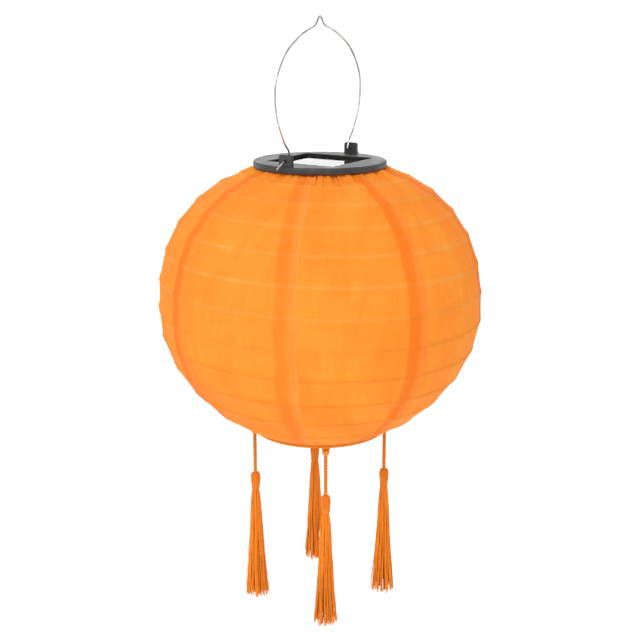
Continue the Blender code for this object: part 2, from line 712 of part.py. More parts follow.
# --- Tassels ---
def make_tassel(n, angle, cord_length, tassel_length):
    """A knot round the bottom ring, a short cord, a bound head and a skirt of threads."""
    spot = polar(BOTTOM_RING, angle, BOTTOM_RING_Z)
    bore = KNOT_BORE
    sleeve = bore + KNOT_WALL
    half = 0.0034
    knot = turned(
        f"cord_knot_{n}",
        [(bore, half), (sleeve, half), (sleeve, -half), (bore, -half), (bore, half)],
        16,
        SILK,
        spot,
    )
    knot.rotation_euler = (pi / 2, 0, radians(angle))
    ball_z = BOTTOM_RING_Z - sleeve - 0.55 * KNOT_RADIUS
    ball = [(KNOT_RADIUS * sin(a), KNOT_RADIUS * cos(a)) for a in np.linspace(0, pi, 7)[1:-1]]
    ball = [(0, KNOT_RADIUS), *ball, (0, -KNOT_RADIUS)]
    bead = turned(f"knot_ball_{n}", ball, 12, None, (spot.x, spot.y, ball_z))
    join(knot, bead)
    clear = rod(f"knot_bore_{n}", bore, 3 * half, spot, "X", 16)
    clear.rotation_euler = (0, 0, radians(angle + 90))
    cut(knot, clear)
    cord_top = ball_z - KNOT_RADIUS - TOUCH
    cord_bottom = cord_top - cord_length
    cord = [(spot.x, spot.y, z) for z in np.linspace(cord_top, cord_bottom, 7)]
    tube(f"tassel_cord_{n}", cord, CORD_RADIUS, SILK)
    head_top = cord_bottom - TOUCH
    neck = -HEAD_LENGTH
    bound = [
        (0, 0),
        (0.55 * HEAD_RADIUS, -0.0004),
        (0.90 * HEAD_RADIUS, -0.0020),
        (HEAD_RADIUS, -0.0048),
        (0.94 * HEAD_RADIUS, -0.0085),
        (0.80 * HEAD_RADIUS, -0.0115),
        (NECK_RADIUS, neck + 0.0015),
        (NECK_RADIUS, neck),
        (0, neck),
    ]
    turned(f"tassel_head_{n}", bound, 14, SILK, (spot.x, spot.y, head_top))
    top = neck - TOUCH
    low = -tassel_length
    threads = [
        (0, top),
        (NECK_RADIUS, top),
        (NECK_RADIUS + 0.0014, top - 0.0060),
        (0.56 * SKIRT_RADIUS, top - 0.020),
        (0.70 * SKIRT_RADIUS, (top + low) / 2),
        (0.86 * SKIRT_RADIUS, low * 0.75 + top * 0.25),
        (SKIRT_RADIUS, low),
        (0, low),
    ]
    turned(f"tassel_skirt_{n}", threads, 14, SILK, (spot.x, spot.y, head_top))


make_cap()
make_panel()
make_handle()
make_housing()
make_housing_parts()
make_shade()
make_spreader()
for number, lengths in enumerate(zip(CORD_LENGTHS, TASSEL_LENGTHS)):
    make_tassel(number + 1, FIRST_TASSEL + 360 / len(CORD_LENGTHS) * number, *lengths)
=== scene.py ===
from math import atan2, cos, pi, radians, sin, sqrt, tau

import bpy
import numpy as np
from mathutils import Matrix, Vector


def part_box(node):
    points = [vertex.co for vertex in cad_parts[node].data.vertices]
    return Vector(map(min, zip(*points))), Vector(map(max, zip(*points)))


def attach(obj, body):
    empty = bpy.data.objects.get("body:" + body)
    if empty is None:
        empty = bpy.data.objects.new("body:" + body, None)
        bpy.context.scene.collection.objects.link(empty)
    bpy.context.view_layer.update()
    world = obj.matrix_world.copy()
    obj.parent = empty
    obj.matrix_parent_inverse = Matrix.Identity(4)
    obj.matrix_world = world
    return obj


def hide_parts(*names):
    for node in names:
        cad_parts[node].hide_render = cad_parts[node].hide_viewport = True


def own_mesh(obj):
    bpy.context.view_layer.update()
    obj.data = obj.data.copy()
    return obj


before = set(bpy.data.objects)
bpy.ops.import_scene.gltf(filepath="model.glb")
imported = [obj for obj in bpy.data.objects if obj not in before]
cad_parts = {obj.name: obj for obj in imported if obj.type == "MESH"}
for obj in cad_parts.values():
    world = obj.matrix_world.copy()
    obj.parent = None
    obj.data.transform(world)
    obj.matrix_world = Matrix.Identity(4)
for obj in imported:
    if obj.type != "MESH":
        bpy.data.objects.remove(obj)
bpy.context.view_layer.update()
scene = bpy.context.scene
capLow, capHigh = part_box("solar_cap")
lugHeight = 0.0085
capTop = capHigh.z - lugHeight
capRadius = capHigh.x
print("frame loaded")

# The camera stands in front of the lantern, a little above the cap, and looks 15 degrees down.
camera = {"heading": (0.851, 0.525), "away": 0.9145, "above": 0.1168, "down": radians(15.0), "lens": 66.66}
eye = bpy.data.objects.new("camera", bpy.data.cameras.new("camera"))
scene.collection.objects.link(eye)
eye.data.lens = camera["lens"]
eye.data.sensor_width = 36
eye.data.clip_start = 0.01
headingX, headingY = camera["heading"]
eye.location = (-headingX * camera["away"], -headingY * camera["away"], capTop + camera["above"])
eye.rotation_euler = (pi / 2 - camera["down"], 0, atan2(headingY, headingX) - pi / 2)
scene.camera = eye


# Adds a node with its settings, and links or sets its inputs by name or number.
def addNode(tree, kind, inputs=None, **settings):
    made = tree.nodes.new(kind)
    for name, value in settings.items():
        setattr(made, name, value)
    for name, value in (inputs or {}).items():
        if isinstance(value, bpy.types.NodeSocket):
            tree.links.new(value, made.inputs[name])
        else:
            made.inputs[name].default_value = value
    return made


# A math node on two values, each a socket or a number.
def calc(tree, operation, first, second=0.0, third=0.0):
    return addNode(tree, "ShaderNodeMath", {0: first, 1: second, 2: third}, operation=operation).outputs[0]


# A colour between two colours, by a factor.
def blendColour(tree, factor, first, second, kind="MIX"):
    made = addNode(tree, "ShaderNodeMix", {0: factor, 6: first, 7: second}, data_type="RGBA", blend_type=kind)
    return made.outputs[2]


# Scales a value from one range to another, and stops at the ends.
def rescale(tree, value, low, high, newLow, newHigh):
    inputs = {"Value": value, "From Min": low, "From Max": high, "To Min": newLow, "To Max": newHigh}
    return addNode(tree, "ShaderNodeMapRange", inputs, interpolation_type="SMOOTHSTEP").outputs[0]


# A noise pattern on a vector, with sizes in metres and a stretch along each axis.
def noise(tree, vector, size, detail=2.0, stretch=(1, 1, 1), rough=0.5):
    spread = addNode(tree, "ShaderNodeMapping", {"Vector": vector, "Scale": tuple(1 / (size * s) for s in stretch)})
    inputs = {"Vector": spread.outputs[0], "Scale": 1.0, "Detail": detail, "Roughness": rough}
    return addNode(tree, "ShaderNodeTexNoise", inputs, noise_dimensions="3D").outputs["Fac"]


# A bump from a height in metres.
def bump(tree, height, distance, strength=1.0, normal=None):
    made = addNode(tree, "ShaderNodeBump", {"Height": height, "Distance": distance, "Strength": strength})
    if normal is not None:
        tree.links.new(normal, made.inputs["Normal"])
    return made.outputs[0]


# An empty shader group with the given inputs and outputs.
def newGroup(name, inputs, outputs):
    tree = bpy.data.node_groups.new(name, "ShaderNodeTree")
    for label, kind, value in inputs:
        made = tree.interface.new_socket(label, in_out="INPUT", socket_type=kind)
        if value is not None:
            made.default_value = value
    for label, kind in outputs:
        tree.interface.new_socket(label, in_out="OUTPUT", socket_type=kind)
    return tree, tree.nodes.new("NodeGroupInput"), tree.nodes.new("NodeGroupOutput")


def useGroup(tree, group, inputs):
    made = tree.nodes.new("ShaderNodeGroup")
    made.node_tree = group
    for name, value in inputs.items():
        if isinstance(value, bpy.types.NodeSocket):
            tree.links.new(value, made.inputs[name])
        else:
            made.inputs[name].default_value = value
    return made.outputs


# Plain weave: each thread is a half wave across, and the warp and the weft take turns on top.
def makeWeave():
    tree, given, out = newGroup(
        "plainWeave",
        [("Vector", "NodeSocketVector", None), ("Pitch", "NodeSocketFloat", 0.0005)],
        [("Height", "NodeSocketFloat"), ("Slub", "NodeSocketFloat")],
    )
    apart = addNode(tree, "ShaderNodeSeparateXYZ", {0: given.outputs["Vector"]})
    rate = calc(tree, "DIVIDE", pi, given.outputs["Pitch"])
    across, along = (calc(tree, "MULTIPLY", apart.outputs[k], rate) for k in (0, 1))
    warp = calc(tree, "ABSOLUTE", calc(tree, "SINE", across))
    weft = calc(tree, "ABSOLUTE", calc(tree, "SINE", along))
    turn = calc(tree, "MULTIPLY", calc(tree, "COSINE", across), calc(tree, "COSINE", along))
    over = rescale(tree, turn, -0.3, 0.3, 0.0, 1.0)
    height = addNode(tree, "ShaderNodeMix", {0: over, 2: warp, 3: weft}).outputs[0]
    tree.links.new(height, out.inputs["Height"])
    warpSlub = noise(tree, given.outputs["Vector"], 0.0007, 1.0, (1, 45, 1))
    weftSlub = noise(tree, given.outputs["Vector"], 0.0007, 1.0, (60, 1, 1))
    halves = [calc(tree, "MULTIPLY", slub, 0.5) for slub in (warpSlub, weftSlub)]
    tree.links.new(calc(tree, "ADD", *halves), out.inputs["Slub"])
    return tree


# Crinkles that thin nylon keeps from its folds: two sheets of stretched noise at right angles.
def makeCrinkle():
    tree, given, out = newGroup(
        "crinkle", [("Vector", "NodeSocketVector", None)], [("Height", "NodeSocketFloat"), ("Cloud", "NodeSocketFloat")]
    )
    upright = noise(tree, given.outputs["Vector"], 0.006, 2.0, (1, 5, 1))
    level = noise(tree, given.outputs["Vector"], 0.005, 2.0, (6, 1, 1))
    both = calc(tree, "ADD", calc(tree, "MULTIPLY", upright, 0.6), calc(tree, "MULTIPLY", level, 0.4))
    tree.links.new(both, out.inputs["Height"])
    tree.links.new(noise(tree, given.outputs["Vector"], 0.045, 2.0, (0.7, 1.4, 1)), out.inputs["Cloud"])
    return tree


# Fine grain and long scuffs of a moulded or drawn surface.
def makeGrain():
    tree, given, out = newGroup(
        "grain",
        [("Vector", "NodeSocketVector", None), ("Size", "NodeSocketFloat", 0.0004)],
        [("Height", "NodeSocketFloat"), ("Scuff", "NodeSocketFloat")],
    )
    spread = addNode(tree, "ShaderNodeVectorMath", {0: given.outputs["Vector"]}, operation="SCALE")
    tree.links.new(calc(tree, "DIVIDE", 1.0, given.outputs["Size"]), spread.inputs["Scale"])
    fine = addNode(tree, "ShaderNodeTexNoise", {"Vector": spread.outputs[0], "Scale": 1.0, "Detail": 2.0})
    pits = addNode(tree, "ShaderNodeTexVoronoi", {"Vector": spread.outputs[0], "Scale": 0.55})
    grainHeight = calc(tree, "MULTIPLY", fine.outputs["Fac"], 0.6)
    pitHeight = calc(tree, "MULTIPLY", pits.outputs["Distance"], 0.5)
    tree.links.new(calc(tree, "ADD", grainHeight, pitHeight), out.inputs["Height"])
    broad = noise(tree, given.outputs["Vector"], 0.012, 3.0, (1, 1, 0.5), 0.6)
    tree.links.new(rescale(tree, broad, 0.35, 0.7, 0.0, 1.0), out.inputs["Scuff"])
    return tree


# Twisted yarn: slanting waves round and along a strand, from its UV in metres.
def makeTwist():
    tree, given, out = newGroup(
        "yarnTwist",
        [("Vector", "NodeSocketVector", None), ("Pitch", "NodeSocketFloat", 0.001), ("Slant", "NodeSocketFloat", 1.0)],
        [("Height", "NodeSocketFloat"), ("Fuzz", "NodeSocketFloat")],
    )
    apart = addNode(tree, "ShaderNodeSeparateXYZ", {0: given.outputs["Vector"]})
    lean = calc(tree, "MULTIPLY", apart.outputs[0], given.outputs["Slant"])
    phase = calc(tree, "DIVIDE", calc(tree, "ADD", apart.outputs[1], lean), given.outputs["Pitch"])
    wave = calc(tree, "ABSOLUTE", calc(tree, "SINE", calc(tree, "MULTIPLY", phase, pi)))
    tree.links.new(wave, out.inputs["Height"])
    tree.links.new(noise(tree, given.outputs["Vector"], 0.0005, 2.0, (1, 6, 1)), out.inputs["Fuzz"])
    return tree


weaveGroup, crinkleGroup, grainGroup, twistGroup = makeWeave(), makeCrinkle(), makeGrain(), makeTwist()


def newMaterial(name):
    made = bpy.data.materials.new(name)
    made.use_nodes = True
    tree = made.node_tree
    return made, tree, tree.nodes["Principled BSDF"]


# Nylon lets light through: a dull front and a translucent back share one colour. A painted highlight makes it paler
# along the wire in the upper half and at folded edges; painted shade deepens it along the wire in the lower half and
# adds to the laps' own deeper colour.
def makeNylon():
    made, tree, shader = newMaterial("orangeNylon")
    look = {
        "cloth": (0.99, 0.405, 0.042, 1),
        "deep": (0.93, 0.235, 0.012, 1),
        "pale": (1.0, 0.510, 0.125, 1),
        "through": 0.40,
    }
    place = addNode(tree, "ShaderNodeUVMap", uv_map="cloth").outputs[0]
    weave = useGroup(tree, weaveGroup, {"Vector": place, "Pitch": 0.00042})
    crinkle = useGroup(tree, crinkleGroup, {"Vector": place})
    ridge = addNode(tree, "ShaderNodeAttribute", attribute_name="ridge").outputs["Fac"]
    lap = addNode(tree, "ShaderNodeAttribute", attribute_name="lap").outputs["Fac"]
    fold = addNode(tree, "ShaderNodeAttribute", attribute_name="fold").outputs["Fac"]
    cloud = rescale(tree, crinkle["Cloud"], 0.3, 0.7, 0.0, 0.42)
    patchy = rescale(tree, crinkle["Cloud"], 0.3, 0.65, 0.75, 0.30)
    # patchy painted highlight on the ribs of the upper half, and painted shade on those of the lower half
    paintedRibLighting = calc(tree, "MULTIPLY", calc(tree, "MAXIMUM", ridge, 0.0), patchy)
    paintedRibShade = calc(tree, "MAXIMUM", calc(tree, "MULTIPLY", ridge, -1.0), 0.0)
    dim = calc(tree, "MULTIPLY", paintedRibShade, 0.55)
    fine = rescale(tree, crinkle["Height"], 0.35, 0.65, 0.0, 0.20)
    colour = blendColour(tree, cloud, look["cloth"], look["deep"])
    colour = blendColour(tree, rescale(tree, weave["Slub"], 0.35, 0.7, 0.0, 0.16), colour, look["pale"])
    colour = blendColour(tree, fine, colour, look["deep"])
    # laps: the double cloth's own deeper colour, with painted shade on top
    colour = blendColour(tree, calc(tree, "MULTIPLY", lap, 0.50), colour, look["deep"])
    colour = blendColour(tree, paintedRibLighting, colour, look["pale"])
    colour = blendColour(tree, dim, colour, look["deep"])
    # painted highlight along folded edges
    colour = blendColour(tree, calc(tree, "MULTIPLY", fold, 0.50), colour, look["pale"])
    lift = bump(tree, crinkle["Height"], 0.0022, 0.6)
    lift = bump(tree, weave["Height"], 0.00008, 0.7, lift)
    tree.links.new(colour, shader.inputs["Base Color"])
    tree.links.new(lift, shader.inputs["Normal"])
    tree.links.new(rescale(tree, weave["Slub"], 0.3, 0.7, 0.55, 0.72), shader.inputs["Roughness"])
    shader.inputs["Specular IOR Level"].default_value = 0.12
    through = addNode(tree, "ShaderNodeBsdfTranslucent", {"Color": colour, "Normal": lift})
    mixed = addNode(tree, "ShaderNodeMixShader", {0: look["through"], 1: shader.outputs[0], 2: through.outputs[0]})
    tree.links.new(mixed.outputs[0], tree.nodes["Material Output"].inputs["Surface"])
    return made


# Moulded plastic with a fine matte grain, scuffed a little smoother in places; gloss is its specular level.
def makePlastic(name, colour, rough, size=0.00035, worn=0.10, gloss=0.5):
    made, tree, shader = newMaterial(name)
    place = addNode(tree, "ShaderNodeTexCoord").outputs["Object"]
    grain = useGroup(tree, grainGroup, {"Vector": place, "Size": size})
    pale = tuple(min(1.0, c * 1.9 + 0.012) for c in colour[:3]) + (1,)
    factor = calc(tree, "MULTIPLY", grain["Scuff"], 0.35)
    tree.links.new(blendColour(tree, factor, colour, pale), shader.inputs["Base Color"])
    tree.links.new(rescale(tree, grain["Scuff"], 0.0, 1.0, rough, rough - worn), shader.inputs["Roughness"])
    tree.links.new(bump(tree, grain["Height"], 0.00004, 0.5), shader.inputs["Normal"])
    shader.inputs["Specular IOR Level"].default_value = gloss
    return made


# Drawn steel wire: bright, with lengthwise scuffs and duller patches.
def makeSteel(name, colour, rough, duller):
    made, tree, shader = newMaterial(name)
    place = addNode(tree, "ShaderNodeTexCoord").outputs["Object"]
    grain = useGroup(tree, grainGroup, {"Vector": place, "Size": 0.0003})
    factor = calc(tree, "MULTIPLY", grain["Scuff"], 0.8)
    tree.links.new(blendColour(tree, factor, colour, duller), shader.inputs["Base Color"])
    tree.links.new(rescale(tree, grain["Scuff"], 0.0, 1.0, rough, rough + 0.14), shader.inputs["Roughness"])
    tree.links.new(bump(tree, grain["Height"], 0.00002, 0.5), shader.inputs["Normal"])
    shader.inputs["Metallic"].default_value = 1.0
    return made


# Silky viscose thread: slanting twist, with painted shade in the hollows and where the shade attribute is set, and a
# soft sheen.
def makeSilk(name, colour, deep, pitch, slant):
    made, tree, shader = newMaterial(name)
    place = addNode(tree, "ShaderNodeUVMap", uv_map="cloth").outputs[0]
    twist = useGroup(tree, twistGroup, {"Vector": place, "Pitch": pitch, "Slant": slant})
    shade = addNode(tree, "ShaderNodeAttribute", attribute_name="shade").outputs["Fac"]
    hollowShade = calc(tree, "MULTIPLY", calc(tree, "SUBTRACT", 1.0, twist["Height"]), 0.65)
    mixed = blendColour(tree, hollowShade, colour, deep)
    mixed = blendColour(tree, rescale(tree, twist["Fuzz"], 0.35, 0.75, 0.0, 0.30), mixed, deep)
    # the shade attribute: painted shade between the plies, on the skirt's inner layers and on hidden cores
    mixed = blendColour(tree, shade, mixed, deep)
    tree.links.new(mixed, shader.inputs["Base Color"])
    tree.links.new(rescale(tree, twist["Fuzz"], 0.3, 0.7, 0.42, 0.62), shader.inputs["Roughness"])
    tree.links.new(bump(tree, twist["Height"], 0.00012, 0.7), shader.inputs["Normal"])
    shader.inputs["Sheen Weight"].default_value = 0.03
    shader.inputs["Sheen Roughness"].default_value = 0.35
    shader.inputs["Specular IOR Level"].default_value = 0.30
    return made


# Solar cells: dark blue silicon strips with a thin silver comb and two collector lines.
def makeCells():
    made, tree, shader = newMaterial("siliconCells")
    place = addNode(tree, "ShaderNodeTexCoord").outputs["Object"]
    apart = addNode(tree, "ShaderNodeSeparateXYZ", {0: place})
    fingers = calc(tree, "PINGPONG", calc(tree, "ADD", apart.outputs[1], 1.0), 0.0011)
    comb = calc(tree, "LESS_THAN", fingers, 0.00009)
    gaps = calc(tree, "PINGPONG", calc(tree, "ADD", apart.outputs[0], 1.0 + 0.0003), 0.00686)
    cut = calc(tree, "LESS_THAN", gaps, 0.00028)
    bars = calc(tree, "COMPARE", calc(tree, "ABSOLUTE", apart.outputs[1]), 0.0138, 0.0005)
    silver = calc(tree, "MAXIMUM", comb, bars)
    flakes = addNode(tree, "ShaderNodeTexVoronoi", {"Vector": place, "Scale": 260.0})
    blue = blendColour(tree, flakes.outputs["Color"], (0.006, 0.012, 0.040, 1), (0.016, 0.030, 0.085, 1))
    colour = blendColour(tree, silver, blue, (0.48, 0.50, 0.52, 1))
    colour = blendColour(tree, cut, colour, (0.55, 0.54, 0.50, 1))
    tree.links.new(colour, shader.inputs["Base Color"])
    tree.links.new(rescale(tree, silver, 0.0, 1.0, 0.22, 0.38), shader.inputs["Roughness"])
    tree.links.new(bump(tree, silver, 0.00003, 0.6), shader.inputs["Normal"])
    return made


# Clear cover: what is behind shows through it, and its polish mirrors more at a glancing angle.
def makeClear(name, tint, rough):
    made, tree, shader = newMaterial(name)
    place = addNode(tree, "ShaderNodeTexCoord").outputs["Object"]
    haze = noise(tree, place, 0.010, 3.0)
    lift = bump(tree, haze, 0.00012, 0.15)
    shader.inputs["Metallic"].default_value = 1.0
    hazy = rescale(tree, haze, 0.3, 0.7, 0.0, 1.0)
    tree.links.new(blendColour(tree, hazy, tint, (0.90, 0.90, 0.89, 1)), shader.inputs["Base Color"])
    tree.links.new(rescale(tree, haze, 0.3, 0.7, rough, rough + 0.05), shader.inputs["Roughness"])
    tree.links.new(lift, shader.inputs["Normal"])
    mirror = addNode(tree, "ShaderNodeFresnel", {"IOR": 1.55})
    through = addNode(tree, "ShaderNodeBsdfTransparent", {"Color": (0.93, 0.95, 0.95, 1)})
    mixed = addNode(tree, "ShaderNodeMixShader", {0: mirror.outputs[0], 1: through.outputs[0], 2: shader.outputs[0]})
    tree.links.new(mixed.outputs[0], tree.nodes["Material Output"].inputs["Surface"])
    return made


# Circuit board: green resist with slightly raised copper tracks below it.
def makeBoard():
    made, tree, shader = newMaterial("circuitGreen")
    place = addNode(tree, "ShaderNodeTexCoord").outputs["Object"]
    cells = addNode(tree, "ShaderNodeTexBrick", {"Vector": place, "Scale": 160.0, "Mortar Size": 0.03})
    track = cells.outputs["Fac"]
    colour = blendColour(tree, track, (0.010, 0.105, 0.035, 1), (0.030, 0.210, 0.060, 1))
    tree.links.new(colour, shader.inputs["Base Color"])
    tree.links.new(rescale(tree, track, 0.0, 1.0, 0.30, 0.42), shader.inputs["Roughness"])
    tree.links.new(bump(tree, track, 0.00004, 0.5), shader.inputs["Normal"])
    return made


nylon = makeNylon()
blackPlastic = makePlastic("blackPlastic", (0.020, 0.019, 0.018, 1), 0.50)
frosted = makePlastic("frostedPlastic", (0.72, 0.72, 0.70, 1), 0.62, 0.0005, 0.05)
wrapper = makePlastic("batteryWrapper", (0.030, 0.150, 0.050, 1), 0.36, 0.0008)
# painted shade for the cap's recess: a darker, duller copy of the black plastic
recessShadePlastic = makePlastic("recessShadePlastic", (0.012, 0.011, 0.010, 1), 0.8, gloss=0.12)
redLead = makePlastic("redLead", (0.420, 0.015, 0.012, 1), 0.48, 0.0006)
nickel = makeSteel("nickelPlate", (0.64, 0.62, 0.57, 1), 0.26, (0.42, 0.40, 0.37, 1))
steel = makeSteel("steelWire", (0.50, 0.49, 0.47, 1), 0.20, (0.26, 0.235, 0.21, 1))
silk = makeSilk("tasselSilk", (1.0, 0.300, 0.004, 1), (0.42, 0.060, 0.0, 1), 0.00095, 0.9)
cordSilk = makeSilk("cordSilk", (1.0, 0.330, 0.012, 1), (0.36, 0.055, 0.0, 1), 0.00070, 1.2)
clearCover = makeClear("clearEpoxy", (1, 1, 1, 1), 0.02)
clearLens = makeClear("clearLens", (1, 1, 0.97, 1), 0.05)
cells, board = makeCells(), makeBoard()
print("materials made")


# Collects the points, faces and UVs of many small shapes that become one object.
class Batch:
    def __init__(self):
        self.points, self.faces, self.uvs, self.shades, self.count = [], [], [], [], 0

    # A grid of points, rows by columns by three, as quads; across and along say whether it closes on itself.
    def grid(self, points, across=False, along=False, uv=None, flip=False, shade=0.0):
        rows, columns = points.shape[:2]
        i, j = np.meshgrid(np.arange(rows - (not along)), np.arange(columns - (not across)), indexing="ij")
        i, j = i.ravel(), j.ravel()
        nextI, nextJ = (i + 1) % rows, (j + 1) % columns
        corners = [(i, j), (nextI, j), (nextI, nextJ), (i, nextJ)]
        places = [(i, j), (i + 1, j), (i + 1, j + 1), (i, j + 1)]
        if flip:
            corners.reverse()
            places.reverse()
        quads = np.stack([self.count + a * columns + b for a, b in corners], axis=1)
        if uv is None:
            uv = lambda a, b: (b / max(columns - 1, 1), a / max(rows - 1, 1))
        uvs = np.stack([np.stack(uv(a, b), axis=-1) for a, b in places], axis=1)
        self.points.append(points.reshape(-1, 3))
        self.shades.append(np.broadcast_to(shade, (rows, columns)).ravel())
        self.faces.extend(quads.tolist())
        self.uvs.append(uvs.reshape(-1, 2))
        self.count += rows * columns

    # Closes the ring of points that starts at an index with a fan to a middle point.
    def fan(self, start, columns, middle, flip=False, shade=0.0):
        self.points.append(np.asarray(middle, float).reshape(1, 3))
        self.shades.append(np.array([shade], float))
        for j in range(columns):
            face = [start + j, start + (j + 1) % columns, self.count]
            self.faces.append(face[::-1] if flip else face)
        self.uvs.append(np.tile([0.0, 0.0], (3 * columns, 1)))
        self.count += 1

    # A round strand along a path, with rounded ends; its frame is carried along without twisting.
    # It has painted shade where it comes near an upright line, when the line's place is given.
    def strand(self, path, radius, sides, shade=0.0, closed=False, inside=None):
        path = np.asarray(path, float)
        tangent = np.roll(path, -1, 0) - np.roll(path, 1, 0) if closed else np.gradient(path, axis=0)
        tangent /= np.linalg.norm(tangent, axis=1)[:, None]
        side = np.cross(tangent[0], [0.31, 0.17, 0.93] if abs(tangent[0][2]) < 0.9 else [1, 0.2, 0])
        sideways = np.empty_like(path)
        for k, t in enumerate(tangent):
            side = side - t * side.dot(t)
            side /= np.linalg.norm(side)
            sideways[k] = side
        other = np.cross(tangent, sideways)
        radius = np.broadcast_to(radius, len(path)).astype(float)
        if closed:  # the frame turns a little all the way round so that its two ends meet
            last = sideways[-1] - tangent[0] * sideways[-1].dot(tangent[0])
            miss = atan2(last.dot(other[0]), last.dot(sideways[0]))
            turn = -miss * np.arange(len(path)) / len(path)
        else:
            turn = np.zeros(len(path))
            bare = len(path)
            before, after = tangent[0] * radius[0], tangent[-1] * radius[-1]
            starts = [path[0] - 0.7 * before, path[0] - 0.25 * before]
            ends = [path[-1] + 0.25 * after, path[-1] + 0.7 * after]
            path = np.vstack([*starts, path[1:-1], *ends])
            order = np.concatenate([[0, 0], np.arange(1, bare - 1), [bare - 1, bare - 1]])
            sideways, other, turn, radius = sideways[order], other[order], turn[order], radius[order].copy()
            radius[0] *= 0.45
            radius[-1] *= 0.45
        angle = np.arange(sides) / sides * tau
        spin = angle[None] + turn[:, None]
        ring = np.cos(spin)[..., None] * sideways[:, None] + np.sin(spin)[..., None] * other[:, None]
        points = path[:, None] + radius[:, None, None] * ring
        if inside is not None:
            away = np.hypot(points[..., 0] - inside[0], points[..., 1] - inside[1])
            shade = 0.95 * (1 - (away - away.min()) / (away.max() - away.min())) ** 0.9
        along = np.concatenate([[0], np.cumsum(np.linalg.norm(np.diff(path, axis=0), axis=1))])
        along = np.append(along, along[-1] + (along[-1] / max(len(path) - 1, 1)))
        girth = tau * float(np.mean(radius)) / sides
        first = self.count
        self.grid(points, across=True, along=closed, uv=lambda a, b: (b * girth, along[a]), flip=True, shade=shade)
        if not closed:
            last = first + (len(path) - 1) * sides
            self.fan(first, sides, path[0] - tangent[0] * radius[0] * 0.3, flip=True, shade=0.0)
            self.fan(last, sides, path[-1] + tangent[-1] * radius[-1] * 0.3, shade=0.0)

    # Makes the object, smooth but for edges sharper than the angle.
    def build(self, name, material, sharp=None, extra=None):
        mesh = bpy.data.meshes.new(name)
        mesh.from_pydata(np.vstack(self.points).tolist(), [], self.faces)
        layer = mesh.uv_layers.new(name="cloth")
        layer.data.foreach_set("uv", np.vstack(self.uvs).astype(np.float32).ravel())
        values = {"shade": np.concatenate(self.shades), **(extra or {})}
        for label, value in values.items():
            made = mesh.attributes.new(label, "FLOAT", "POINT")
            made.data.foreach_set("value", np.asarray(value, np.float32))
        mesh.shade_smooth()
        if sharp:
            mesh.set_sharp_from_angle(angle=radians(sharp))
        mesh.materials.append(material)
        made = bpy.data.objects.new(name, mesh)
        scene.collection.objects.link(made)
        return made


# A smooth line through points: Catmull-Rom curves with this many steps each.
def smoothPath(points, steps):
    points = np.asarray(points, float)
    first, last = 2 * points[0] - points[1], 2 * points[-1] - points[-2]
    padded = np.vstack([first, points, last])
    t = np.linspace(0, 1, steps, endpoint=False)[:, None]
    pieces = []
    for a, b, c, d in zip(padded[:-3], padded[1:-2], padded[2:-1], padded[3:]):
        pieces.append(0.5 * (2 * b + (c - a) * t + (2 * a - 5 * b + 4 * c - d) * t**2 + (3 * b - a - 3 * c + d) * t**3))
    return np.vstack([*pieces, points[-1:]])


def polar(radius, angle, z):
    return np.stack(np.broadcast_arrays(radius * np.cos(angle), radius * np.sin(angle), z), axis=-1)


# Four tassel cords come first: each hangs from its knot on the bottom ring to its tassel's head.
ring = {"radius": 0.0533, "z": (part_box("bottom_ring")[0].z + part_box("bottom_ring")[1].z) / 2, "wire": 0.0010}
tassel = {
    "first": radians(36.5),
    "cordRadius": 0.0016,
    "plyTurn": 0.0048,  # height of one turn of a ply
    "knotZ": ring["z"] - 0.00435,
    "headRadius": 0.0040,
    "skirtRadius": 0.0080,
}


# Two plies wind steeply round each other; a ply's middle goes round the cord's own line.
def makeCord(n, angle):
    x, y = ring["radius"] * cos(angle), ring["radius"] * sin(angle)
    low, high = (corner.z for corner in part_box(f"tassel_cord_{n}"))
    z = np.linspace(high + 0.0006, low - 0.0004, 110)
    ply = 0.52 * tassel["cordRadius"]
    middle = tassel["cordRadius"] * 1.08 - ply
    batch = Batch()
    for k in range(2):
        turn = -z / tassel["plyTurn"] * tau + k * pi + n
        # each ply is painted in shade on its side towards the cord's middle
        batch.strand(np.stack([x + middle * np.cos(turn), y + middle * np.sin(turn), z], axis=1), ply, 10, inside=(x, y))
    made = batch.build(f"tasselCord_{n}", cordSilk)
    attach(made, f"tassel_{n}")
    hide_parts(f"tassel_cord_{n}")


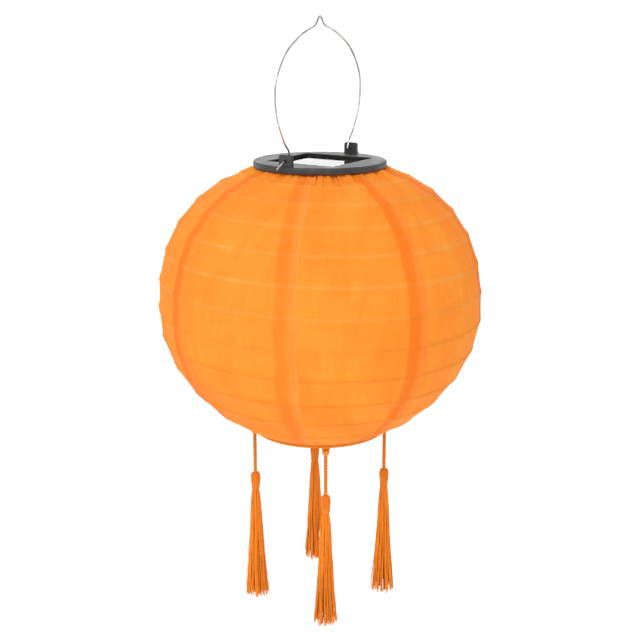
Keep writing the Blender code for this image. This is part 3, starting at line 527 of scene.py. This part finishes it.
# A hitch of four wraps round the hemmed ring, and a ball of crossing wraps below it.
def makeKnot(n, angle):
    batch = Batch()
    outward, sideways = np.array([cos(angle), sin(angle), 0]), np.array([-sin(angle), cos(angle), 0])
    middle = np.array([ring["radius"] * cos(angle), ring["radius"] * sin(angle), ring["z"]])
    s = np.linspace(0, 1, 64)
    around = tau * (4 * s - 0.25)
    reach = 0.00205
    path = middle + ((s - 0.5) * 0.0054)[:, None] * sideways
    path += reach * (np.cos(around)[:, None] * outward + np.sin(around)[:, None] * [0, 0, 1])
    batch.strand(path, 0.00070, 8)
    ball = np.array([middle[0], middle[1], tassel["knotZ"]])
    for k, (lean, start) in enumerate([(0.9, 0.0), (-0.8, 1.3), (0.35, 2.6), (-0.25, 4.0)]):
        a = np.linspace(0, tau, 26)[:-1]
        wide = 0.00250 - 0.00010 * k
        flat = np.stack([wide * np.cos(a), wide * np.sin(a) * cos(lean), wide * np.sin(a) * sin(lean)], axis=1)
        c, d = cos(start), sin(start)
        turned = np.stack([c * flat[:, 0] - d * flat[:, 1], d * flat[:, 0] + c * flat[:, 1], flat[:, 2]], axis=1)
        batch.strand(ball + turned, 0.00092, 8, closed=True)
    t = np.linspace(0.12, pi - 0.12, 10)[:, None]
    a = np.arange(16)[None] / 16 * tau
    core = polar(0.0023 * np.sin(t), a + 0 * t, ball[2] + 0.0023 * np.cos(t))
    core[..., :2] += ball[:2]
    start = batch.count
    # the core inside the wraps is painted half in shade
    batch.grid(core, across=True, shade=0.5)
    batch.fan(start, 16, ball + [0, 0, 0.0023])
    batch.fan(start + 9 * 16, 16, ball - [0, 0, 0.0023], flip=True)
    made = batch.build(f"tasselKnot_{n}", cordSilk)
    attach(made, f"tassel_{n}")
    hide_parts(f"cord_knot_{n}")


# The head: threads fold over its top and run down to a bound neck, round a solid core.
def makeHead(n, angle, chance):
    x, y = ring["radius"] * cos(angle), ring["radius"] * sin(angle)
    neck, top = (corner.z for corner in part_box(f"tassel_head_{n}"))
    drop = np.array([0.0, 0.0003, 0.0013, 0.0030, 0.0055, 0.0085, 0.0110, 0.0128, top - neck - 0.0008])
    wide = np.array([0.12, 0.45, 0.78, 0.96, 1.0, 0.95, 0.84, 0.74, 0.68]) * tassel["headRadius"]
    batch = Batch()
    strand = 0.00036
    count = 34
    for k in range(count):
        turn = k / count * tau + chance.normal(0, 0.03)
        lean = chance.normal(0.10, 0.06) * np.linspace(0, 1, len(drop))
        r = np.maximum(wide - strand + chance.normal(0, 0.00008), 0.0004)
        path = polar(r, turn + lean, top - strand - drop)
        path[:, :2] += (x, y)
        batch.strand(smoothPath(path, 2), strand, 6, shade=0.05 + 0.30 * chance.random())
    a = np.arange(20)[None] / 20 * tau
    core = polar((wide * 0.90)[:, None] + 0 * a, a + 0 * wide[:, None], (top - 0.0004 - drop)[:, None] + 0 * a)
    core[..., :2] += (x, y)
    start = batch.count
    # the core under the threads is painted in shade
    batch.grid(core, across=True, shade=0.7)
    batch.fan(start, 20, (x, y, top - 0.0002))
    batch.fan(start + (len(drop) - 1) * 20, 20, (x, y, neck + 0.0004), flip=True)
    s = np.linspace(0, 1, 150)
    wraps = polar(0.00305 + 0.00012 * np.sin(s * 17 + n), s * tau * 7, neck + 0.0002 + 0.0046 * s)
    wraps[:, :2] += (x, y)
    batch.strand(wraps, 0.00040, 6, shade=0.12)
    made = batch.build(f"tasselHead_{n}", silk)
    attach(made, f"tassel_{n}")
    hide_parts(f"tassel_head_{n}")


# The skirt: threads in three layers spread from the neck, wave a little and end ragged.
skirt = {
    "layers": ((50, 0.94, 0.02), (34, 0.70, 0.42), (18, 0.40, 0.65)),  # threads, share of the width, painted shade
    "places": (0, 0.07, 0.2, 0.5, 0.75, 1),  # shares of the length
    "widths": (0.31, 0.46, 0.56, 0.72, 0.92, 1.17),  # shares of the radius there
    "strays": 14,
    "leaning": 4,  # strays that lean out the most
}


def makeSkirt(n, angle, chance):
    x, y = ring["radius"] * cos(angle), ring["radius"] * sin(angle)
    low, top = (corner.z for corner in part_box(f"tassel_skirt_{n}"))
    top += 0.0010
    share = np.array([0, 0.05, 0.12, 0.22, 0.36, 0.5, 0.64, 0.76, 0.87, 0.95, 1.0])
    wide = np.interp(share, skirt["places"], skirt["widths"]) * tassel["skirtRadius"]
    batch = Batch()
    side = chance.random() * tau  # the side on which this skirt hangs fullest
    for count, inner, innerShade in skirt["layers"]:
        for k in range(count):
            turn = (k + 0.35 * chance.normal()) / count * tau
            end = low + abs(chance.normal(0, 0.0022)) + (0.004 if chance.random() < 0.12 else 0)
            z = top + (end - top) * share
            swirl = chance.normal(0.05, 0.10) * share + 0.05 * np.sin(share * 9 + chance.random() * 6)
            full = inner + chance.normal(0, 0.035) * share + 0.05 * cos(turn - side) * share
            wave = 0.00018 * np.sin(share * chance.uniform(14, 30) + chance.random() * 6)
            path = polar(wide * full + wave, turn + swirl, z)
            path[:, :2] += (x, y)
            thick = np.interp(share, [0, 0.15, 1], [0.00030, 0.00040, 0.00044])
            batch.strand(path, thick, 5, shade=min(0.9, max(0.0, innerShade + chance.normal(0.06, 0.12))))
    for k in range(skirt["strays"]):  # stray filaments hang a little outside the others
        leans = k < skirt["leaning"]
        turn = chance.random() * tau
        out = chance.uniform(1.16, 1.28) if leans else chance.uniform(1.02, 1.16)
        start = chance.uniform(0.02, 0.3)
        part = start + (1 - start) * share
        r = np.interp(part, share, wide) * (0.97 + (out - 0.97) * (share**2.2 if leans else np.sin(share * 2.6)))
        path = polar(r, turn + 0.3 * share, top + (low + 0.004 * chance.random() - top) * part)
        path[:, :2] += (x, y)
        batch.strand(path, 0.00017, 4)
    made = batch.build(f"tasselSkirt_{n}", silk)
    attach(made, f"tassel_{n}")
    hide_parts(f"tassel_skirt_{n}")


for number in range(1, 5):
    chance = np.random.default_rng(40 + number)
    where = tassel["first"] + (number - 1) * pi / 2
    makeCord(number, where)
    makeKnot(number, where)
    makeHead(number, where, chance)
    makeSkirt(number, where, chance)
print("tassels made")

# The shade's outline: a radius falls as a power of a cosine and a height grows as a power of a sine.
shade = {
    "radius": 0.127,
    "upper": (0.1144, 2.4, 0.047776),  # height, power and end radius of the upper half
    "lower": (0.1110, 1.9, 0.0567),
    "hemZ": capTop - 0.0059,
    "gores": 8,
    "firstSeam": radians(20.2),
    "lapMiddle": 0.0172,  # width of the lap at the widest place
    "lapEnd": 0.0115,
    "scallop": 0.0007,
    "ridge": 0.00045,
    "pleat": 0.00045,
}
rib = {
    "start": 0.0185,  # along the cloth, where the spiral passes its angle
    "pitch": 0.02115,
    "spread": 0.00015,  # how much further apart each turn lies
    "angle": radians(219.7),
    "turns": (-0.45, 10.55),
    "wire": 0.0006,
}


def halfOutline(side):
    height, power, end = shade[side]
    last = np.arccos((end / shade["radius"]) ** (power / 2))
    t = np.linspace(0, last, 600)
    return np.column_stack([shade["radius"] * np.cos(t) ** (2 / power), height * np.sin(t) ** (2 / power)])


upperLine, lowerLine = halfOutline("upper"), halfOutline("lower")
equator = shade["hemZ"] - upperLine[-1, 1]
outline = np.vstack([(upperLine * [1, 1] + [0, equator])[::-1], (lowerLine * [1, -1] + [0, equator])[1:]])
along = np.concatenate([[0], np.cumsum(np.linalg.norm(np.diff(outline, axis=0), axis=1))])
clothLength = along[-1]
direction = np.gradient(outline, along, axis=0)
direction /= np.linalg.norm(direction, axis=1)[:, None]


# The radius, height and outward normal of the cloth at a distance from its top hem.
def onCloth(distance):
    r, z, runR, runZ = (np.interp(distance, along, v) for v in (*outline.T, *direction.T))
    size = np.hypot(runR, runZ)
    return r, z, -runZ / size, runR / size


# How many turns of the rib lie above a distance, from the rib's own rule turned round.
def ribTurns(distance):
    inside = rib["pitch"] ** 2 + 4 * rib["spread"] * (distance - rib["start"])
    return (-rib["pitch"] + np.sqrt(np.maximum(inside, 0))) / (2 * rib["spread"])


# Height of the cloth over its smooth outline: a parabola sags between ribs, a bell rises over each, sine
# waves gather the hems, and bells long one way and narrow the other make pleats and creases. Each gore has
# its own chances. It also gives painted light along the wire: above zero is a painted highlight on the ribs of
# the upper half, and below zero is painted shade on those of the lower half.
def clothRelief(distance, angle, number, chance):
    turns = ribTurns(distance) - (angle - rib["angle"]) / tau
    nearest = np.round(turns)
    ribAt = nearest + (angle - rib["angle"]) / tau
    real = (ribAt > rib["turns"][0] - 0.02) & (ribAt < rib["turns"][1] + 0.02)
    pitch = rib["pitch"] + 2 * rib["spread"] * ribAt
    gap = np.abs(turns - nearest) * pitch  # distance to the nearest rib
    part = turns - np.floor(turns)
    bay = np.clip(np.floor(turns).astype(int) + 2, 0, 15)
    depth = chance.uniform(0.7, 1.35, 16)[bay]
    tall = -shade["scallop"] * depth * 4 * part * (1 - part)
    ridge = np.exp(-((gap / 0.0011) ** 2)) * real
    tall += shade["ridge"] * ridge
    # painted highlight along the ribs of the upper half and painted shade along those of the lower half, as light from
    # above falls on the ridges
    ribLightAndShade = ridge * np.interp(distance / clothLength, [0, 0.42, 0.62, 1], [1.0, 0.9, -0.7, -0.9])
    middle = angle - (shade["firstSeam"] + number * tau / shade["gores"] + tau / shade["gores"] / 2)
    near = np.exp(-((distance / 0.011) ** 2))
    low = np.exp(-(((clothLength - distance) / 0.012) ** 2))
    for _ in range(7):
        rate, start = chance.uniform(60, 190), chance.random() * tau
        tall += shade["pleat"] * chance.uniform(0.3, 1.0) * np.sin(angle * rate + start) * (near + 0.6 * low)
    tall += 0.0006 * np.exp(-(((distance - 0.0045) / 0.0035) ** 2))
    for _ in range(8):  # long pleats fan out from under the cap
        at, skew = chance.uniform(-0.38, 0.38), chance.normal(0, 1.6)
        width, long = chance.uniform(0.018, 0.034), chance.uniform(0.014, 0.036)
        crossed = middle - at - skew * distance
        rise = chance.choice([-1, 1]) * chance.uniform(0.0006, 0.0015)
        tall += rise * np.exp(-((crossed / width) ** 2) - (distance / long) ** 2)
    for _ in range(9):  # short soft creases that run out from the hems and the seams
        at, spot = chance.uniform(-0.36, 0.36), chance.uniform(0.05, 0.95) * clothLength
        lean, long, width = chance.normal(0, 0.25), chance.uniform(0.015, 0.045), chance.uniform(0.0018, 0.0036)
        r = 0.115
        crossed = (middle - at) * r - lean * (distance - spot)
        rise = chance.choice([-1, 1]) * chance.uniform(0.00018, 0.00045)
        tall += rise * np.exp(-((crossed / width) ** 2) - ((distance - spot) / long) ** 2)
    for at, spot, long, width, rise in creases.get(number, ()):
        crossed = (angle - radians(at)) * 0.12 - 0.05 * (distance - spot)
        tall += rise * np.exp(-((crossed / width) ** 2) - ((distance - spot) / long) ** 2)
    # the wire holds every crease up, and the cloth may sink only with the distance from it
    tall = np.where(real, np.maximum(tall, -0.0001 - 0.30 * gap), tall)
    return tall, ribLightAndShade


# Longer creases: angle in degrees, distance along the cloth, length, width and height.
creases = {
    5: ((268, 0.105, 0.060, 0.0030, 0.0007), (273, 0.120, 0.055, 0.0024, -0.0006), (277, 0.100, 0.050, 0.0028, 0.0006)),
    3: ((160, 0.205, 0.035, 0.0028, 0.0006), (165, 0.215, 0.030, 0.0025, -0.0005)),
}


# How dark each of the eight laps looks, from the first seam on: the double cloth's own deeper colour, with painted
# shade strongest (1.35) on the two laps at the sides of the camera's view.
lapDepthAndShade = (1.0, 1.1, 1.0, 1.35, 0.85, 1.35, 1.1, 1.0)


gore = {
    "rows": 300,
    "under": 7,  # columns of the underlap, of the open cloth and of the lap
    "open": 61,
    "over": 10,
    "step": 0.0012,  # from row to row where the cloth goes round the top ring
}
topRing = {"radius": 0.046076, "z": capTop - 0.0040, "wrap": 0.00135}


# How far a lap's left and right edges stray along it, as angles: each is a sum of five sine waves.
def seamWander(seam, rows, r):
    chance = np.random.default_rng(300 + seam % shade["gores"])
    waves = [(chance.uniform(60, 260), chance.random() * tau, chance.uniform(0.00015, 0.00050)) for _ in range(10)]
    return [sum(size * np.sin(rows * rate + start) for rate, start, size in edge) / r for edge in (waves[0::2], waves[1::2])]


# One gore: an underlap at its left, the open cloth, and a lap at its right whose edge comes down on the next
# gore. A point is the outline's point at its distance, moved out along the outline's normal by the relief.
def makeGore(k):
    count = shade["gores"]
    rows = np.linspace(0, clothLength, gore["rows"])
    r, z, normalR, normalZ = onCloth(rows)
    lap = shade["lapEnd"] + (shade["lapMiddle"] - shade["lapEnd"]) * np.sin(pi * rows / clothLength) ** 0.7
    half = lap / 2 / r
    span = tau / count
    here, there = seamWander(k, rows, r), seamWander(k + 1, rows, r)
    left, right = (-half + here[0])[:, None], (half + here[1])[:, None]
    nextLeft, nextRight = (span - half + there[0])[:, None], (span + half + there[1])[:, None]
    under = np.linspace(-1, 1, gore["under"] + 1)[:-1]
    free = np.linspace(0, 1, gore["open"] + 1)[:-1]
    over = np.linspace(-1, 1, gore["over"])
    fold = np.array([0.00012, 0.00022, 0.00030])  # the folded edge comes down on the next gore
    lifts = np.array([0.00016, 0.00009, 0.00002])
    offsets = [left + (right - left) * (under[None] + 1) / 2]
    offsets.append(right + (nextLeft - right) * free[None])
    offsets.append(nextLeft + (nextRight - nextLeft) * (over[None] + 1) / 2)
    offsets.append(nextRight + fold[None] / r[:, None])
    offset = np.hstack(offsets)
    angle = shade["firstSeam"] + k * span + offset
    distance = np.broadcast_to(rows[:, None], angle.shape)
    columns = angle.shape[1]
    # both cloths of a lap follow the same relief, so each is drawn from its neighbour's chances there
    reliefs = [clothRelief(distance, angle, n, np.random.default_rng(100 + n % count)) for n in (k - 1, k, k + 1)]
    (before, _), (relief, ridge), (following, _) = reliefs
    early = np.clip(offset / half[:, None] * 0.5 + 0.5, 0, 1)
    share = np.clip((offset - span) / half[:, None] * 0.5 + 0.5, 0, 1)
    relief = relief * early + before * (1 - early)
    relief = relief * (1 - share) + following * share
    # the underlap lies below its neighbour, and the lap above it
    start = len(under) + len(free)
    stop = start + len(over)
    layer = np.zeros(columns)
    layer[: len(under)] = -0.00018
    layer[len(under) : len(under) + 2] = (-0.00012, -0.00005)
    layer[start:stop] = np.interp(over, [-1, -0.6, 0.6, 1], [0.0, 0.00014, 0.00020, 0.00020])
    layer[stop:] = lifts
    tall = relief + layer[None]
    # under the cap's rim the cloth stays below the plastic
    room = (capTop - 0.0053 - z) / np.maximum(normalZ, 0.05)
    tall = np.where((r < capRadius + 0.0006)[:, None], np.minimum(tall, room[:, None]), tall)
    points = polar(r[:, None] + normalR[:, None] * tall, angle, z[:, None] + normalZ[:, None] * tall)
    # above the hem the cloth goes up, round the top ring and down inside it
    turn = np.linspace(0, pi, 9)[:, None]
    wrapR = topRing["radius"] + topRing["wrap"] * np.cos(turn)
    wrapZ = topRing["z"] + topRing["wrap"] * np.sin(turn)
    wrapR = np.vstack([wrapR, wrapR[-1:], wrapR[-1:]])
    wrapZ = np.vstack([wrapZ, wrapZ[-1:] - 0.0010, wrapZ[-1:] - 0.0020])
    wrap = polar(wrapR + 0.4 * layer[None], angle[:1] + 0 * wrapR, wrapZ + 0 * angle[:1])[::-1]
    points = np.concatenate([wrap, points])
    # how dark each column is as a lap (partly painted shade), how pale as a folded edge (a painted highlight), and the
    # painted highlight and shade along the wire
    depth = lapDepthAndShade[(k + 1) % count]
    marks = np.zeros(columns)
    marks[: len(under)] = 0.5 * lapDepthAndShade[k]
    marks[start:stop] = np.interp(over, [-1, -0.85, 0.1, 0.5], [0.0, 1.0, 1.0, 0.4]) * depth
    paintedFoldHighlight = np.zeros(columns)
    paintedFoldHighlight[start:stop] = np.interp(over, [0.0, 0.4, 0.9, 1.0], [0.0, 0.30, 0.40, 0.9]) / depth
    paintedFoldHighlight[stop:] = 0.9
    paintedRibLighting = np.vstack([np.zeros((len(wrap), columns)), ridge * (1 - 0.6 * np.maximum(marks, paintedFoldHighlight))])
    extra = {"ridge": paintedRibLighting.ravel()}
    for label, row in (("lap", marks), ("fold", paintedFoldHighlight)):
        extra[label] = np.broadcast_to(row, points.shape[:2]).ravel()
    down = np.concatenate([-gore["step"] * np.arange(len(wrap), 0, -1), rows])
    across = np.vstack([np.repeat(offset[:1] * r[0], len(wrap), axis=0), offset * r[:, None]])
    batch = Batch()
    batch.grid(points, uv=lambda i, j: (across[i, j] + 0.37 * k, down[i] + 0 * j))
    made = batch.build(f"shadeGore_{k + 1}", nylon, extra=extra)
    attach(made, "lantern")
    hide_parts(f"shade_gore_{k + 1}")
    return made


# The spiral wire: it lies just inside the cloth, and its turns follow the same rule as the cloth's ridges.
def makeRib():
    turns = np.linspace(*rib["turns"], 1100)
    distance = rib["start"] + rib["pitch"] * turns + rib["spread"] * turns**2
    r, z, normalR, normalZ = onCloth(distance)
    inset = rib["wire"] + 0.00035
    path = polar(r - normalR * inset, rib["angle"] + tau * turns, z - normalZ * inset)
    batch = Batch()
    batch.strand(path, rib["wire"], 8)
    made = batch.build("ribSpiral", steel)
    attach(made, "lantern")
    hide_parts("spiral_rib")
    return made


# The bottom hem: a strip of cloth comes down inside, goes round the ring and up outside to the gores.
def makeHem():
    wrap = ring["wire"] + 0.0005
    footR, footZ = outline[-1]
    turn = np.linspace(radians(38), radians(-205), 16)
    insideR, insideZ = np.array([-0.0008, 0.0006, 0.0020]), np.array([0.0026, 0.0044, 0.0062])
    r = np.concatenate([[footR - 0.0002, footR - 0.0008], ring["radius"] + wrap * np.cos(turn), ring["radius"] + insideR])
    z = np.concatenate([[footZ + 0.0010, footZ - 0.0002], ring["z"] + wrap * np.sin(turn), ring["z"] + insideZ])
    a = np.arange(360)[None] / 360 * tau
    gather = sum(np.sin(a * rate + start) for rate, start in ((47, 0.4), (71, 2.0), (113, 4.4))) / 3
    fade = np.concatenate([[1, 0.8], np.interp(np.linspace(0, 1, 16), [0, 0.5, 1], [0.5, 0.25, 0.5]), [0.8, 1, 1]])
    points = polar(r[:, None] + 0.00030 * gather * fade[:, None], a + 0 * r[:, None], z[:, None] + 0 * a)
    down = np.concatenate([[0], np.cumsum(np.hypot(np.diff(r), np.diff(z)))])
    batch = Batch()
    batch.grid(points, across=True, uv=lambda i, j: (j / 360 * tau * ring["radius"], down[i]))
    extra = {label: np.zeros(points.shape[:2]).ravel() for label in ("ridge", "fold")}
    # the hem takes the laps' colour: the double cloth's deeper colour with painted shade
    extra["lap"] = np.full(points.shape[:2], 0.6).ravel()
    made = batch.build("shadeHem", nylon, extra=extra)
    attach(made, "shade_foot")


gores = [makeGore(k) for k in range(shade["gores"])]
ribSpiral = makeRib()
makeHem()
for piece in [*gores, ribSpiral]:
    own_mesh(piece)
print("shade made")

# The cap is one closed skin: recess floor, walls, top, rounded rim, channel and boss. A ring of points is a
# rounded square near the recess and a circle at the rim.
cap = {
    "recess": 0.0300,  # half of its side
    "floor": capLow.z + 0.0015,
    "bottom": capTop - 0.0052,
    "channelIn": 0.043626,
    "channelOut": 0.049726,
    "skirt": 0.0502,  # middle of the skirt's lower edge
    "roof": capTop - 0.0020,  # of the channel that takes the top ring
    "rim": 0.0016,  # radius of the rounded rim
    "dish": 0.00012,  # how much the top falls towards its rim
    "around": 384,
}


# A rounded square's radius at an angle: a high power of a cosine and a sine.
def squareRadius(angle, half, power=36):
    return half / (np.abs(np.cos(angle)) ** power + np.abs(np.sin(angle)) ** power) ** (1 / power)


def makeCap():
    around, soft = cap["around"], cap["rim"]
    a = np.arange(around) / around * tau
    rings = [(0.3, cap["floor"]), (0.8, cap["floor"]), (0.99, cap["floor"]), (1.0, cap["floor"] + 0.0003)]
    rings += [(1.0, cap["floor"] + 0.0012), (1.0, cap["roof"]), (1.0, capTop - 0.0006)]
    points = [polar(squareRadius(a, cap["recess"]) * s, a, z) for s, z in rings]
    for t in (0.3, 0.65, 1.0):  # the recess's edge is eased
        out = 0.0005 * (1 - cos(t * pi / 2))
        points.append(polar(squareRadius(a, cap["recess"] + out), a, capTop - 0.0006 + 0.0006 * sin(t * pi / 2)))
    inner = squareRadius(a, cap["recess"] + 0.0005)
    for t in np.linspace(0.04, 1, 12):
        radius = inner + (capRadius - soft - inner) * t
        points.append(polar(radius, a, capTop - cap["dish"] * t**2))
    for t in np.linspace(0.12, 1, 8):
        down = cap["dish"] + soft * (1 - cos(t * pi / 2))
        points.append(polar(capRadius - soft + soft * sin(t * pi / 2), a, capTop - down))
    points.append(polar(capRadius + 0 * a, a, (capTop + cap["bottom"]) / 2))
    for t in np.linspace(0, 1, 5):
        points.append(polar(capRadius - 0.0007 * (1 - cos(t * pi / 2)), a, cap["bottom"] + 0.0007 * (1 - sin(t * pi / 2))))
    innerWall, outerWall, bottom, roof = cap["channelIn"], cap["channelOut"], cap["bottom"], cap["roof"]
    below = [(cap["skirt"], bottom), (outerWall + 0.0001, bottom + 0.0001), (outerWall, bottom + 0.0004)]
    below += [(outerWall, roof - 0.0002), (outerWall - 0.0002, roof), (innerWall + 0.0002, roof)]
    below += [(innerWall, roof - 0.0002), (innerWall, capLow.z + 0.0003), (innerWall - 0.0003, capLow.z)]
    below += [(0.030, capLow.z), (0.012, capLow.z)]
    points += [polar(radius + 0 * a, a, z) for radius, z in below]
    batch = Batch()
    batch.grid(np.array(points), across=True)
    batch.fan(0, around, (0, 0, cap["floor"]))
    batch.fan((len(points) - 1) * around, around, (0, 0, capLow.z), flip=True)
    made = batch.build("capShell", blackPlastic, sharp=50)
    # the recess's walls and floor get a darker, duller plastic: painted shade, so they stay dark in the panel's glare
    made.data.materials.append(recessShadePlastic)
    for face in made.data.polygons[: around * (len(rings) - 1)]:
        face.material_index = 1
    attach(made, "lantern")
    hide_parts("solar_cap")


# A lug is a ring of points about its hole, carried round the block's section: hole, face, eased edge, outside.
lug = {
    "width": 0.0110,
    "thick": 0.0036,
    "hole": 0.0037,  # height of the hole above the cap
    "bore": 0.0011,
    "corner": 0.0018,
    "ease": 0.00055,  # how much the edges are rounded
    "root": 0.0010,  # how far the block goes down into the cap
    "outer": capRadius - 0.0023,
}


def makeLug(name, side):
    wide, up, down, c = lug["width"] / 2, lugHeight - lug["hole"], lug["hole"] + lug["root"], lug["corner"]
    arc = np.linspace(0, pi / 2, 12)
    right = np.column_stack([wide - c + c * np.sin(arc), up - c + c * np.cos(arc)])
    outlineYZ = np.vstack([right, [[wide, -down], [-wide, -down]], (right * [-1, 1])[::-1]])
    fine = np.vstack([np.linspace(p, q, 12, endpoint=False) for p, q in zip(outlineYZ, np.roll(outlineYZ, -1, 0))])
    turn = np.unwrap(np.arctan2(fine[:, 1], fine[:, 0]))
    order = np.argsort(turn)
    a = np.arange(96) / 96 * tau
    far = np.interp(a, turn[order], np.hypot(*fine.T)[order], period=tau)
    e, half = lug["ease"], lug["thick"] / 2
    ts = np.linspace(0, 1, 5)
    section = [("bore", 0.0, -half + 0.0003), ("bore", 0.0, half - 0.0003), ("bore", 0.0002, half), ("face", 0.0, half)]
    section += [("edge", -e * (1 - sin(t * pi / 2)), half - e * (1 - cos(t * pi / 2))) for t in ts]
    section += [("edge", -e * (1 - cos(t * pi / 2)), -half + e * (1 - sin(t * pi / 2))) for t in ts]
    section += [("face", 0.0, -half), ("bore", 0.0002, -half)]
    middle = side * (lug["outer"] - half)
    points = []
    for kind, extra, x in section:
        if kind == "bore":
            radius = lug["bore"] + extra + 0 * a
        elif kind == "face":
            radius = (lug["bore"] + far) / 2
        else:
            radius = far + extra
        points.append(np.stack([middle + x + 0 * a, radius * np.cos(a), capTop + lug["hole"] + radius * np.sin(a)], axis=1))
    batch = Batch()
    batch.grid(np.array(points), across=True, along=True, flip=True)
    made = batch.build(name, blackPlastic, sharp=50)
    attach(made, "lantern")


# The handle is one wire: tails outside the lugs, pins in their holes, and a bow with a small peak. Its path
# is a smooth curve through a few points of one half, and the other half mirrors it.
handle = {
    "wire": 0.0007,  # radius
    "bulge": 0.0167,  # how far the bow stands out past the lugs' inner faces
    "lean": 0.0026,  # how far inside its lug the wire turns up
    "high": 0.107,
    "gap": 0.0010,  # from a lug to the wire's middle line
}


def makeHandle():
    hole, high, bulge, lean = lug["hole"], handle["high"], handle["bulge"], handle["lean"]
    outer, inner = lug["outer"], lug["outer"] - lug["thick"]
    knee = inner - handle["gap"]
    foot, wide = knee - lean, knee + bulge
    clear = hole + sqrt((lug["width"] / 2) ** 2 + (lugHeight - hole) ** 2) + handle["gap"]
    half = [(outer + 0.0102, hole - 0.0046), (outer + 0.0056, hole - 0.0023), (outer + 0.0014, hole - 0.0002)]
    half += [(outer, hole), (inner, hole), (foot + 0.00036, hole + 0.00036), (foot, hole + 0.0012)]
    half += [(foot + 0.45 * lean, (hole + 0.0012 + clear) / 2), (knee - 0.0002, clear - 0.0004)]
    side = ((0.25, 0.150), (0.55, 0.228), (0.83, 0.318), (0.97, 0.405), (1.0, 0.485), (0.95, 0.563))
    shoulder = ((0.940, 0.626), (0.840, 0.710), (0.695, 0.792), (0.440, 0.874), (0.245, 0.915))
    half += [(knee + s * bulge, t * high) for s, t in side]
    half += [(s * wide, t * high) for s, t in shoulder]
    half += [(0.0082, high - 0.0071), (0.0051, high - 0.0051), (0.0022, high - 0.0014)]
    flat = [*half, (0, high), *[(-x, z) for x, z in reversed(half)]]
    path = smoothPath([(x, 0, capTop + z) for x, z in flat], 8)
    batch = Batch()
    batch.strand(path, handle["wire"], 12)
    made = batch.build("handleWire", steel)
    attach(made, "handle")
    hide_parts("wire_handle")


# The clear cover over the cells: a thin plate with eased edges.
def makeCover():
    low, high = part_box("panel_window")
    around = 256
    a = np.arange(around) / around * tau
    half, e = high.x, 0.0003
    section = [(0.35 * half, high.z), (0.75 * half, high.z), (half - e, high.z), (half - 0.3 * e, high.z - 0.3 * e)]
    section += [(half, high.z - e), (half, low.z + e), (half - 0.3 * e, low.z + 0.3 * e), (half - e, low.z)]
    section += [(0.75 * half, low.z), (0.35 * half, low.z)]
    points = [polar(squareRadius(a, s), a, z) for s, z in section]
    batch = Batch()
    batch.grid(np.array(points), across=True)
    batch.fan(0, around, (0, 0, high.z))
    batch.fan((len(points) - 1) * around, around, (0, 0, low.z), flip=True)
    made = batch.build("panelCover", clearCover, sharp=40)
    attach(made, "lantern")
    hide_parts("panel_window")


makeCap()
makeLug("lugRight", 1)
makeLug("lugLeft", -1)
makeHandle()
makeCover()
print("cap and handle made")

# The CAD pieces that stay take a finish by their names.
finishes = {
    "solar_cells": cells,
    "panel_board": board,
    "circuit_board": board,
    "lamp_housing": blackPlastic,
    "battery_door": blackPlastic,
    "switch_knob": blackPlastic,
    "panel_lead_minus": blackPlastic,
    "panel_lead_plus": redLead,
    "lamp_diffuser": frosted,
    "led": clearLens,
    "battery_cell": wrapper,
    "battery_spring": nickel,
    "contact_plate_plus": nickel,
    "contact_plate_minus": nickel,
    "switch_body": nickel,
    "door_screw": nickel,
    "top_ring": steel,
    "bottom_ring": steel,
    "spreader_leg_1": steel,
    "spreader_leg_2": steel,
}
for name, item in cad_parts.items():
    if item.hide_render:
        continue
    finish = finishes.get(name, nickel)
    if not item.data.materials:
        item.data.materials.append(finish)
    for slot in item.material_slots:
        slot.material = finish
print("cad pieces finished")

# A pale floor well below the lantern, bright enough to read as the white of a studio.
floor = bpy.data.meshes.new("floor")
floor.from_pydata([(-30, -30, -1.5), (30, -30, -1.5), (30, 30, -1.5), (-30, 30, -1.5)], [], [(0, 1, 2, 3)])
floorPiece = bpy.data.objects.new("floor", floor)
scene.collection.objects.link(floorPiece)
paleFloor, tree, shader = newMaterial("paleFloor")
shader.inputs["Base Color"].default_value = (0.85, 0.85, 0.85, 1)
shader.inputs["Roughness"].default_value = 0.9
shader.inputs["Emission Color"].default_value = (1, 1, 1, 1)
shader.inputs["Emission Strength"].default_value = 0.45
floor.materials.append(paleFloor)

world = bpy.data.worlds.new("studio")
scene.world = world
world.use_nodes = True
world.node_tree.nodes["Background"].inputs["Color"].default_value = (1, 1, 1, 1)
seen = addNode(world.node_tree, "ShaderNodeLightPath").outputs["Is Camera Ray"]
strength = calc(world.node_tree, "MULTIPLY_ADD", seen, 0.15, 0.90)
world.node_tree.links.new(strength, world.node_tree.nodes["Background"].inputs["Strength"])
scene.view_settings.view_transform = "Standard"


# A square soft light at a place given by how far it is to the right of, in front of and above the shade's middle.
def addLight(name, right, front, above, size, power):
    lamp = bpy.data.lights.new(name, "AREA")
    lamp.shape = "SQUARE"
    lamp.size = size
    lamp.energy = power
    made = bpy.data.objects.new(name, lamp)
    scene.collection.objects.link(made)
    place = np.array([headingY * right - headingX * front, -headingX * right - headingY * front, equator + above])
    aim = np.array([0, 0, equator]) - place
    made.location = place
    made.rotation_euler = (np.arctan2(np.hypot(aim[0], aim[1]), -aim[2]), 0, atan2(aim[1], aim[0]) - pi / 2)


addLight("keyLight", -0.6, 1.6, 1.3, 1.2, 24)
addLight("backLight", 0.0, -2.2, 1.2, 2.0, 12)
